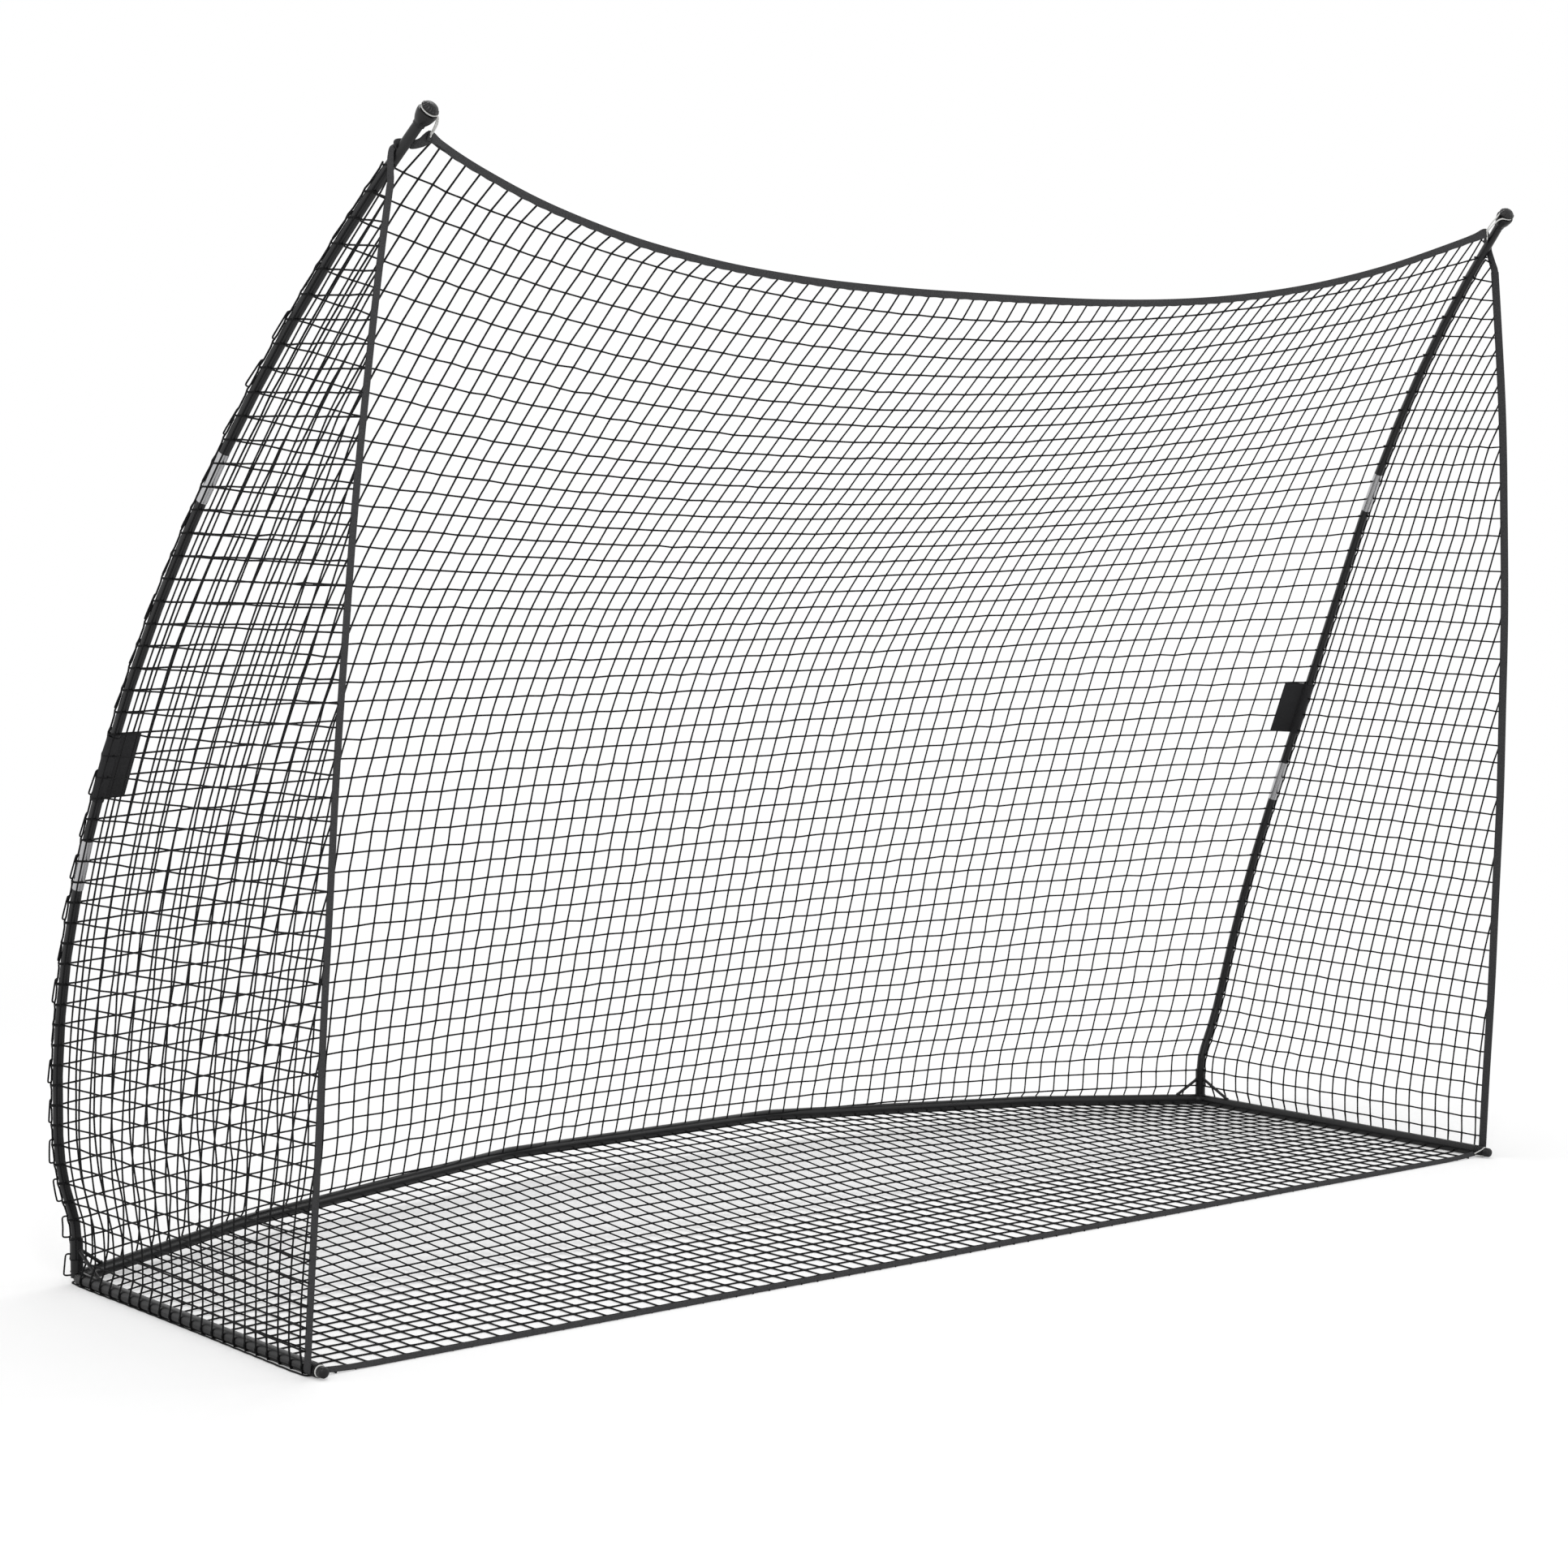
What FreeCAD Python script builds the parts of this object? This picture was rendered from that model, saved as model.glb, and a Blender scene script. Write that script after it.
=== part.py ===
import FreeCAD, Part
import math
import os

import Sketcher

V = FreeCAD.Vector
doc = FreeCAD.newDocument("BowNet")

# Driving dimensions, in millimetres and degrees. X is across the net, Y to the back, Z up from the floor.
DIMENSIONS = {
    # base frame of steel tube: two corners, four back sections, two side tubes
    "TubeDiameter": 25.0,
    "TubeWall": 1.5,
    "SwageGap": 0.1,
    "SwageLength": 50.0,
    "JointGap": 0.3,
    "HalfWidth": 1528.0,
    "CornerSetback": 373.8,
    "CornerDepth": 4.5,
    "CornerRadius": 26.0,
    "BackStub": 138.0,
    "SideStub": 130.0,
    "SideReach": 862.0,
    "BendRadius": 150.0,
    "OuterBendWidth": 1076.0,
    "OuterBendDepth": 143.0,
    "OuterBendLift": 26.0,
    "SeamWidth": 704.0,
    "InnerBendWidth": 365.0,
    "InnerBendDepth": 268.0,
    "InnerBendLift": 56.0,
    # upright socket and the two gusset rods of each corner
    "SocketDepth": 3.0,
    "SocketDiameter": 24.0,
    "SocketHeight": 88.5,
    "SocketFloor": 26.0,
    "SocketGap": 0.25,
    "GussetDiameter": 7.0,
    "GussetHeight": 70.0,
    "GussetBackReach": 66.0,
    "GussetSideReach": 96.0,
    # bow poles of three rods that meet inside two metal sleeves
    "RodDiameter": 19.0,
    "RodSag": 1.1,
    "LowerJoint": 823.0,
    "UpperJoint": 1609.0,
    "SleeveDiameter": 20.4,
    "SleeveBore": 19.1,
    "SleeveLength": 100.0,
    # pole caps
    "TipRun": 40.0,
    "CapDepth": 30.0,
    "CapSkirtDiameter": 21.6,
    "CapCollarDiameter": 34.0,
    "CapGrooveDiameter": 23.0,
    "CapKnobDiameter": 32.0,
    # base caps
    "BaseCollarDiameter": 25.0,
    "BaseRibDepth": 1.6,
    "BaseGrooveDiameter": 17.0,
    "BaseKnobDiameter": 21.0,
    "BasePlugLength": 25.0,
    # pole tabs of doubled fabric
    "TabStart": 952.0,
    "TabHeight": 131.0,
    "TabReach": 66.0,
    "TabThickness": 1.4,
    "TabEase": 1.6,
    # nets, bindings and elastic
    "NetGap": 8.0,
    "NetThickness": 3.0,
    "NetCord": 6.0,
    "TapeHeight": 14.0,
    "TapeThickness": 3.0,
    "FrontTapeWidth": 10.0,
    "ElasticDiameter": 2.8,
}

sheet = doc.addObject("Spreadsheet::Sheet", "Sizes")
for row, (name, number) in enumerate(DIMENSIONS.items(), start=1):
    sheet.set(f"A{row}", name)
    sheet.set(f"B{row}", str(number))
    sheet.setAlias(f"B{row}", name)
doc.recompute()


class Size:
    """A length with its expression in the sheet's cells, so that one sum gives both."""

    def __init__(self, text, value):
        self.text, self.value = text, value

    def join(self, other, sign, value):
        other = other if isinstance(other, Size) else Size(repr(other), other)
        return Size(f"({self.text} {sign} {other.text})", value(self.value, other.value))

    def __add__(self, other):
        return self.join(other, "+", lambda a, b: a + b)

    def __sub__(self, other):
        return self.join(other, "-", lambda a, b: a - b)

    def __mul__(self, other):
        return self.join(other, "*", lambda a, b: a * b)

    def __truediv__(self, other):
        return self.join(other, "/", lambda a, b: a / b)


def cell(name):
    return Size(f"Sizes.{name}", float(sheet.get(name)))


def number(name):
    return cell(name).value


tubeRadius = cell("TubeDiameter") / 2
tubeBore = tubeRadius - cell("TubeWall")
swageRadius = tubeBore - cell("SwageGap")
rodRadius = cell("RodDiameter") / 2

nodes = {}


def keep(name, feature):
    feature.Label = name
    nodes[name] = feature
    return feature


# Flat sides round each knob, and round each moulded collar
LOBES = 14
COLLAR_SIDES = 24

# Distance from the end of a side tube or pole to the middle of its cap's groove
BASE_GROOVE = 11.4
POLE_GROOVE = 4.0

# Steps round the bend of each corner
ELBOW_STEPS = 7


# Frames and placements

def frameAt(origin, along, side):
    """Placement whose X axis runs along and whose Y axis leans to side."""
    x = V(along).normalize()
    z = x.cross(side).normalize()
    y = z.cross(x)
    turn = FreeCAD.Matrix(x.x, y.x, z.x, 0, x.y, y.y, z.y, 0, x.z, y.z, z.z, 0, 0, 0, 0, 1)
    return FreeCAD.Placement(origin, FreeCAD.Rotation(turn))


# Sketches and bodies

def newBody(name):
    return doc.addObject("PartDesign::Body", name)


def newSketch(body, name, role):
    sketch = body.newObject("Sketcher::SketchObject", name)
    plane = [f for f in body.Origin.OriginFeatures if f.Role == role][0]
    sketch.AttachmentSupport = [(plane, "")]
    sketch.MapMode = "FlatFace"
    return sketch


def bind(sketch, constraint, size):
    index = sketch.addConstraint(constraint)
    sketch.setExpression(f"Constraints[{index}]", size.text)


def circles(sketch, radii):
    """Concentric circles about the sketch's origin."""
    for radius in radii:
        index = sketch.addGeometry(Part.Circle(V(0, 0, 0), V(0, 0, 1), radius.value))
        sketch.addConstraint(Sketcher.Constraint("Coincident", index, 3, -1, 1))
        bind(sketch, Sketcher.Constraint("Radius", index, radius.value), radius)


def bentPipe(name, start, knee, end, bend, radii):
    """Pipe body along two straight runs with one bend, drawn flat and then placed in space."""
    first, second = knee - start, end - knee
    turn = first.getAngle(second)
    setback = bend.value * math.tan(turn / 2)
    runs = (first.Length - setback, second.Length - setback)
    body = newBody(name)
    path = newSketch(body, name + "_path", "XY_Plane")
    centre = V(runs[0], bend.value, 0)
    arc = Part.ArcOfCircle(Part.Circle(centre, V(0, 0, 1), bend.value), -math.pi / 2, turn - math.pi / 2)
    corner = arc.EndPoint
    away = V(math.cos(turn), math.sin(turn), 0)
    path.addGeometry(Part.LineSegment(V(0, 0, 0), V(runs[0], 0, 0)))
    path.addGeometry(arc)
    path.addGeometry(Part.LineSegment(corner, corner + away * runs[1]))
    path.addConstraint(Sketcher.Constraint("Coincident", 0, 1, -1, 1))
    path.addConstraint(Sketcher.Constraint("Horizontal", 0))
    path.addConstraint(Sketcher.Constraint("Tangent", 0, 2, 1, 1))
    path.addConstraint(Sketcher.Constraint("Tangent", 1, 2, 2, 1))
    path.addConstraint(Sketcher.Constraint("Distance", 0, runs[0]))
    path.addConstraint(Sketcher.Constraint("Distance", 2, runs[1]))
    path.addConstraint(Sketcher.Constraint("Angle", 0, 1, 2, 1, turn))
    bind(path, Sketcher.Constraint("Radius", 1, bend.value), bend)
    ring = newSketch(body, name + "_ring", "YZ_Plane")
    circles(ring, radii)
    doc.recompute()
    pipe = body.newObject("PartDesign::AdditivePipe", name + "_pipe")
    pipe.Profile = ring
    pipe.Spine = (path, [])
    body.Placement = frameAt(start, first, second)
    return body


def joined(name, pieces):
    fuse = doc.addObject("Part::MultiFuse", name)
    fuse.Shapes = pieces
    return fuse


def cutFrom(name, base, tool):
    cut = doc.addObject("Part::Cut", name)
    cut.Base, cut.Tool = base, tool
    return cut


def rod(name, start, end, radius):
    """Straight cylinder between two points."""
    cylinder = doc.addObject("Part::Cylinder", name)
    cylinder.setExpression("Radius", radius.text)
    cylinder.Height = (end - start).Length
    cylinder.Placement = FreeCAD.Placement(start, FreeCAD.Rotation(V(0, 0, 1), end - start))
    return cylinder


def ring(name, centre, heading, radius, seam):
    """Round section of a loft, whose seam lies to the side given."""
    circle = doc.addObject("Part::Circle", name)
    circle.setExpression("Radius", radius.text)
    circle.Placement = FreeCAD.Placement(centre, FreeCAD.Rotation(seam, V(0, 0, 0), heading, "ZXY"))
    return circle


def loft(name, sections):
    """Solid with straight flanks from each section to the next."""
    solid = doc.addObject("Part::Loft", name)
    solid.Sections = sections
    solid.Solid = True
    solid.Ruled = True
    return solid


def prism(name, start, heading, length, radius, sides):
    """Prism whose edges lie on a circle of this radius."""
    solid = doc.addObject("Part::Prism", name)
    solid.Polygon = sides
    solid.Height = length
    solid.setExpression("Circumradius", radius.text)
    solid.Placement = FreeCAD.Placement(start, FreeCAD.Rotation(V(1, 0, 0), V(0, 0, 0), heading, "ZXY"))
    return solid


def frustum(name, start, heading, profile):
    """Solid with flat sides through rings at (distance along the axis, radius)."""
    turns = [2 * math.pi * n / COLLAR_SIDES for n in range(COLLAR_SIDES)]
    rings = [[V(radius * math.cos(a), radius * math.sin(a), at) for a in turns] for at, radius in profile]
    outlines = [rings[0], rings[-1]]
    for low, high in zip(rings, rings[1:]):
        for n in range(COLLAR_SIDES):
            outlines.append([low[n - 1], low[n], high[n], high[n - 1]])
    faces = [Part.Face(Part.makePolygon(points + points[:1])) for points in outlines]
    solid = doc.addObject("Part::Feature", name)
    solid.Shape = Part.Solid(Part.Shell(faces))
    solid.Placement = FreeCAD.Placement(start, FreeCAD.Rotation(V(1, 0, 0), V(0, 0, 0), heading, "ZXY"))
    return solid


def crown(name, start, heading, length, radius, bevel):
    """Lobed knob: a prism with both its ends bevelled, the outer one more."""
    body = prism(name + "_blank", start, heading, length, radius, LOBES)
    doc.recompute()
    bevelled = doc.addObject("Part::Chamfer", name)
    bevelled.Base = body
    edges = []
    for index, edge in enumerate(body.Shape.Edges, start=1):
        ends = [(v.Point - start).dot(heading) for v in edge.Vertexes]
        if max(ends) < 0.01:
            edges.append((index, bevel * 0.3, bevel * 0.3))
        elif min(ends) > length - 0.01:
            edges.append((index, bevel, bevel))
    bevelled.Edges = edges
    return bevelled


# Base frame

floorLift = number("TubeDiameter") / 2
cornerY = number("CornerSetback")


def backPoint(width, depth, lift, side):
    return V(number(width) * side, cornerY + number(depth), floorLift + number(lift))


def cornerPoint(side):
    return V(number("HalfWidth") * side, cornerY + number("CornerDepth"), floorLift)


def outerBend(side):
    return backPoint("OuterBendWidth", "OuterBendDepth", "OuterBendLift", side)


def innerBend(side):
    return backPoint("InnerBendWidth", "InnerBendDepth", "InnerBendLift", side)


def along(start, end, distance):
    return start + (end - start).normalize() * distance


def seamPoint(side):
    """Joint of the outer and inner back sections, on the straight run between their bends."""
    outer, inner = outerBend(side), innerBend(side)
    share = (abs(outer.x) - number("SeamWidth")) / (abs(outer.x) - abs(inner.x))
    return outer + (inner - outer) * share


middle = V(0, innerBend(1).y, innerBend(1).z)


def uprightAxis(side):
    """Foot of the upright, which stands over the bend of the corner."""
    return V(number("HalfWidth") * side, cornerY + number("SocketDepth"), 0)


def elbow(name, start, knee, end):
    """Solid bent rod: straight, round the bend in short steps, and straight again."""
    first, second = (knee - start).normalize(), (end - knee).normalize()
    turn = first.getAngle(second)
    bend = number("CornerRadius")
    setback = bend * math.tan(turn / 2)
    axis = first.cross(second).normalize()
    centre = knee - first * setback + axis.cross(first) * bend
    up = V(0, 0, 1)
    sections = [ring(name + "_start", start, first, tubeRadius, up)]
    for n in range(ELBOW_STEPS + 1):
        swing = FreeCAD.Rotation(axis, math.degrees(turn) * n / ELBOW_STEPS)
        spoke = swing.multVec(axis.cross(first) * -bend)
        sections.append(ring(f"{name}_{n}", centre + spoke, swing.multVec(first), tubeRadius, up))
    sections.append(ring(name + "_end", end, second, tubeRadius, up))
    return loft(name, sections)


def makeCorner(side, word):
    """Bent corner with a reduced end to the back and to the side, an upright socket and two gusset rods."""
    corner = cornerPoint(side)
    backEnd = along(corner, outerBend(side), number("BackStub"))
    sideEnd = corner + V(0, -number("SideStub"), 0)
    tag = word + "_corner_"
    skin = elbow(tag + "bend", backEnd, corner, sideEnd)
    upright = uprightAxis(side)
    seat = upright + V(0, 0, floorLift)
    top = upright + V(0, 0, number("SocketHeight"))
    socket = rod(tag + "socket", seat, top, cell("SocketDiameter") / 2)
    knee = upright + V(0, 0, number("GussetHeight"))
    back = along(corner, outerBend(side), number("GussetBackReach")) + V(0, 0, floorLift * 0.8)
    front = corner + V(0, -number("GussetSideReach"), floorLift * 0.8)
    gussets = [rod(tag + "gusset_" + way, foot, knee, cell("GussetDiameter") / 2)
               for way, foot in (("back", back), ("side", front))]
    reach = number("SwageLength")
    backTip = along(backEnd, outerBend(side), reach)
    sideTip = sideEnd + V(0, -reach, 0)
    spigots = [rod(tag + "back_spigot", backEnd, backTip, swageRadius),
               rod(tag + "side_spigot", sideEnd, sideTip, swageRadius)]
    well = rod(tag + "well", upright + V(0, 0, number("SocketFloor")), top, rodRadius + cell("SocketGap"))
    mouth = rod(tag + "mouth", sideEnd + V(0, 5, 0), sideTip, swageRadius - cell("TubeWall"))
    whole = joined(tag + "whole", [skin, socket] + gussets + spigots)
    keep(word + "_corner", cutFrom(word + "_corner", whole, joined(tag + "bores", [well, mouth])))


def makeBackSection(name, start, knee, end, reduced):
    """Back tube with a bend at its middle; the end that is reduced goes into the next section."""
    start = along(start, knee, number("JointGap"))
    pipe = bentPipe(name + "_tube", start, knee, end, cell("BendRadius"), [tubeRadius, tubeBore])
    if not reduced:
        return keep(name, pipe)
    heading = (end - knee).normalize()
    collar = rod(name + "_collar", end - heading * 8, end, tubeBore + cell("TubeWall") / 2)
    spigot = rod(name + "_spigot", end, end + heading * number("SwageLength"), swageRadius)
    return keep(name, joined(name, [pipe, collar, spigot]))


def makeSideTube(side, word):
    """Straight tube that slides over the corner's reduced end and takes the base cap in front."""
    body = newBody(word + "_side_tube")
    sketch = newSketch(body, word + "_side_tube_ring", "YZ_Plane")
    circles(sketch, [tubeRadius, tubeBore])
    doc.recompute()
    pad = body.newObject("PartDesign::Pad", word + "_side_tube_pad")
    pad.Profile = sketch
    pad.setExpression("Length", (cell("SideReach") - cell("SideStub") - cell("JointGap")).text)
    start = cornerPoint(side) + V(0, -(number("SideStub") + number("JointGap")), 0)
    body.Placement = frameAt(start, V(0, -1, 0), V(0, 0, 1))
    return keep(word + "_side_tube", body)


def makeBaseCap(side, word):
    """Plug with a ribbed collar, a groove for the elastic and a lobed knob."""
    collar, neck = cell("BaseCollarDiameter") / 2, cell("BaseGrooveDiameter") / 2
    name = word + "_base_cap"
    start, out = cornerPoint(side) + V(0, -number("SideReach"), 0), V(0, -1, 0)

    def step(part, low, high, radius):
        return prism(f"{name}_{part}", start + out * low, out, high - low, radius, COLLAR_SIDES)

    plug = prism(name + "_plug", start + out * -number("BasePlugLength"), out,
                 number("BasePlugLength") + 1.0, tubeBore - 0.1, 8)
    pieces = [plug, step("rim", 0.2, 4.2, collar), step("rib", 4.0, 5.8, collar - cell("BaseRibDepth")),
              step("collar", 5.6, 9.4, collar), step("neck", 9.2, 14.0, neck),
              crown(name + "_knob", start + out * 13.4, out, 12.6, cell("BaseKnobDiameter") / 2, 3.4)]
    return keep(name, joined(name, pieces))


# Bow poles

# The right pole's centreline rises straight from the socket and then runs on through these points,
# measured from the upright's foot, on arcs that are each tangent to the one before.
POLE_POINTS = [(10, -3, 143), (46, -25, 293), (69, -158, 751), (5, -483, 1419), (-151, -1023, 2104)]


def tangentArc(start, heading, end):
    """Arc from start, leaving along heading, to end; with its radius and its heading there."""
    chord = end - start
    turn = heading.getAngle(chord)
    normal = (chord - heading * chord.dot(heading)).normalize()
    radius = chord.Length / (2 * math.sin(turn))
    centre = start + normal * radius
    half = centre - normal * (radius * math.cos(turn)) + heading * (radius * math.sin(turn))
    leaving = normal * math.sin(2 * turn) + heading * math.cos(2 * turn)
    return Part.Arc(start, half, end), radius, leaving


class Bow:
    """A pole's centreline, from the floor of the socket to its tip, by distance along it."""

    def __init__(self, side):
        upright = uprightAxis(side)
        foot = upright + V(0, 0, number("SocketFloor") + 1.0)
        here = upright + V(0, 0, number("SocketHeight"))
        self.curves = [Part.LineSegment(foot, here)]
        self.steps = [here.z - foot.z]
        heading = V(0, 0, 1)
        for x, y, z in POLE_POINTS:
            there = upright + V(x * side, y, z)
            curve, radius, heading = tangentArc(here, heading, there)
            self.curves.append(curve)
            self.steps.append(math.sqrt(8 * radius * number("RodSag")))
            here = there
        self.lengths = [curve.length() for curve in self.curves]
        self.total = sum(self.lengths)

    def find(self, distance):
        for curve, length in zip(self.curves, self.lengths):
            if distance <= length or curve is self.curves[-1]:
                return curve, curve.parameterAtDistance(distance, curve.FirstParameter)
            distance -= length

    def point(self, distance):
        curve, parameter = self.find(distance)
        return curve.value(parameter)

    def heading(self, distance):
        curve, parameter = self.find(distance)
        return V(*curve.tangent(parameter)[0])

    def tip(self):
        """Centre and heading of the pole's end, which runs straight under its cap."""
        end = self.point(self.total)
        return end, (end - self.point(self.total - number("TipRun"))).normalize()

    def stations(self, low, high):
        """Distances from low to high, closer together where the bow is tighter."""
        found = [low]
        start = 0.0
        for length, step in zip(self.lengths, self.steps):
            a, b = max(low, start), min(high, start + length)
            if b - a > step / 4:
                count = math.ceil((b - a) / step)
                found += [a + (b - a) * n / count for n in range(1, count + 1)]
            start += length
        found[-1] = high
        return found


def makePole(side, word, bow):
    """Three rods, end to end, with a straight sleeve over each of the two joints."""
    half = number("SleeveLength") / 2
    joints = [number("LowerJoint"), number("UpperJoint")]
    ends = {}
    for joint in joints:
        low, high = bow.point(joint - half), bow.point(joint + half)
        ends[joint] = ((low + high) / 2, (high - low).normalize())
    spans = [(None, joints[0]), (joints[0], joints[1]), (joints[1], None)]
    for part, (low, high) in zip(("lower", "middle", "upper"), spans):
        name = f"{word}_{part}_rod"
        first = 0.0 if low is None else low + half
        last = bow.total - number("TipRun") if high is None else high - half
        places = [(bow.point(d), bow.heading(d)) for d in bow.stations(first, last)]
        places = places if low is None else [ends[low]] + places
        places = places + [bow.tip() if high is None else ends[high]]
        sections = [ring(f"{name}_{n}", centre, heading, rodRadius, V(1, 0, 0))
                    for n, (centre, heading) in enumerate(places)]
        keep(name, loft(name, sections))
    for part, joint in zip(("lower", "upper"), joints):
        name = f"{word}_{part}_sleeve"
        centre, heading = ends[joint]
        reach = heading * (half - 0.5)
        tube = rod(name + "_tube", centre - reach, centre + reach, cell("SleeveDiameter") / 2)
        bore = rod(name + "_bore", centre - reach, centre + reach, cell("SleeveBore") / 2)
        keep(name, cutFrom(name, tube, bore))


def makePoleCap(side, word, bow):
    """Pushed-on cap: a skirt, a flare, a collar, a groove for the elastic and a lobed knob."""
    skirt, collar = number("CapSkirtDiameter") / 2, number("CapCollarDiameter") / 2
    name = word + "_pole_cap"
    tip, out = bow.tip()
    depth = number("CapDepth")
    profile = [(-depth, skirt), (9.0 - depth, skirt), (-4.0, collar), (0.6, collar)]
    cup = frustum(name + "_cup", tip, out, profile)
    pieces = [cup, prism(name + "_neck", tip, out, 7.0, cell("CapGrooveDiameter") / 2, COLLAR_SIDES),
              crown(name + "_knob", tip + out * 6.6, out, 17.8, cell("CapKnobDiameter") / 2, 5.0)]
    bore = prism(name + "_bore", tip - out * depth, out, depth + 0.2, rodRadius + 0.2, COLLAR_SIDES)
    return keep(name, cutFrom(name, joined(name + "_whole", pieces), bore))


# Fabric tabs on the poles

def plate(reach, low, high, near, far):
    """Flat layer of a tab: from low to high up the pole, and between two distances to its front."""
    return Part.makeBox(reach[1] - reach[0], abs(far - near), high - low, V(reach[0], min(near, far), low))


def sleeve(radius, sides, low, high):
    """Upright prism with flat sides, each touching a circle of this radius."""
    corner = radius / math.cos(math.pi / sides)
    turns = [2 * math.pi * (n + 0.5) / sides for n in range(sides + 1)]
    outline = Part.makePolygon([V(corner * math.cos(a), corner * math.sin(a), low) for a in turns])
    return Part.Face(outline).extrude(V(0, 0, high - low))


def makeTab(side, word, bow):
    """Doubled fabric round the pole: a wrap with its back layer, and a front layer that peels from its fold."""
    distance = number("TabStart") + number("TabHeight") / 2
    up = bow.heading(distance)
    inward = V(-0.95 * side, 0.31, 0)
    place = FreeCAD.Placement(bow.point(distance), FreeCAD.Rotation(inward, V(0, 0, 0), up, "ZXY"))
    height, thick = number("TabHeight"), number("TabThickness")
    inner = rodRadius.value + number("TabEase")
    outer = inner + thick
    low, high = -height / 2, height / 2
    near, far = 0.2 * side, (0.2 + thick) * side
    wrap = sleeve(outer, 8, low, high).cut(sleeve(inner, 8, low, high))
    slot = plate((inner - 2, outer + 2), low, high, -near, far + 0.3 * side)
    tail = plate((inner + 0.2, number("TabReach")), low, high, -near, -far)
    fold = V(outer + 0.3 + thick / 2, (near + far) / 2, low)
    flap = plate((fold.x, number("TabReach")), low, high, near, far)
    flap = flap.fuse(Part.makeCylinder(thick / 2, height, fold)).removeSplitter()
    for part, shape in (("tab", wrap.cut(slot).fuse(tail)), ("flap", flap)):
        feature(f"{word}_pole_{part}", shape).Placement = place


# Netting

def feature(name, shape):
    part = doc.addObject("Part::Feature", name)
    part.Shape = shape
    return keep(name, part)


def blend(a, b, share):
    return a + (b - a) * share


def skin(name, triangles):
    """Solid inside a closed skin of flat triangles."""
    faces = [Part.Face(Part.makePolygon([a, b, c, a])) for a, b, c in triangles]
    solid = Part.Solid(Part.Shell(faces))
    if solid.Volume < 0:
        solid.reverse()
    return feature(name, solid)


def netPanel(name, grid, front):
    """Open-mesh net over a grid of crossings, as one closed skin: the cords are the strips between the gaps."""
    half, cord = number("NetThickness") / 2, number("NetCord") / 2
    rows, columns = len(grid) - 1, len(grid[0]) - 1
    lift = {}
    for i in range(rows + 1):
        for j in range(columns + 1):
            up = grid[min(i + 1, rows)][j] - grid[max(i - 1, 0)][j]
            across = grid[i][min(j + 1, columns)] - grid[i][max(j - 1, 0)]
            normal = across.cross(up).normalize() * half
            lift[i, j] = normal if normal.dot(front) > 0 else normal * -1
    triangles = []

    def quad(a, b, c, d):
        triangles.extend([(a, b, c), (a, c, d)])

    for i in range(rows):
        for j in range(columns):
            keys = [(i, j), (i, j + 1), (i + 1, j + 1), (i + 1, j)]
            outer = [grid[a][b] for a, b in keys]
            wide = (outer[1] - outer[0]).Length
            tall = (outer[3] - outer[0]).Length
            share = [(cord / wide, cord / tall), (1 - cord / wide, cord / tall),
                     (1 - cord / wide, 1 - cord / tall), (cord / wide, 1 - cord / tall)]
            sides = []
            for sign in (1, -1):
                rim = [outer[n] + lift[keys[n]] * sign for n in range(4)]
                hole = [blend(blend(rim[0], rim[1], u), blend(rim[3], rim[2], u), v) for u, v in share]
                sides.append((rim, hole))
                for n in range(4):
                    m = (n + 1) % 4
                    quad(rim[n], rim[m], hole[m], hole[n])
            for n in range(4):
                m = (n + 1) % 4
                quad(sides[0][1][n], sides[0][1][m], sides[1][1][m], sides[1][1][n])
            edges = [(0, i == 0), (1, j == columns - 1), (2, i == rows - 1), (3, j == 0)]
            for n, rimEdge in edges:
                if rimEdge:
                    m = (n + 1) % 4
                    quad(sides[0][0][n], sides[0][0][m], sides[1][0][m], sides[1][0][n])
    return skin(name, triangles)


# Numbers of gaps across and up in each net
BACK_GAPS = (12, 7)
SIDE_GAPS = (3, 7)
GROUND_GAPS = (12, 3)

clear = number("NetGap") + number("NetThickness") / 2
tubeClear = tubeRadius.value + clear
rodClear = rodRadius.value + clear


def backTubeAt(x):
    """Centre of the back tube at a distance across, along its straight runs."""
    points = [cornerPoint(1), outerBend(1), innerBend(1), middle]
    reach = abs(x)
    for a, b in zip(points, points[1:]):
        if reach >= b.x - 0.001:
            place = blend(a, b, (a.x - reach) / (a.x - b.x))
            return V(x, place.y, place.z)


def bezier(points, share):
    """Cubic curve by its four control points."""
    a, b, c, d = points
    rest = 1 - share
    return a * rest ** 3 + b * (3 * share * rest ** 2) + c * (3 * share ** 2 * rest) + d * share ** 3


def topTapeAt(share):
    """Lower edge of the top binding, sagging in the middle; share runs -1 to 1 across."""
    reach = abs(share)
    y = cornerY - 865.0 - 108.0 * reach ** 3
    z = 1869.0 + 191.5 * reach ** 2.8
    return V(1348.0 * share, y, z)


# Control points of the back net's middle, which hangs further back than the poles
NET_MIDDLE = [(0, 268, 84), (0, -102, 1331), (0, -6, 1135), (0, -866, 1858)]


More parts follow.
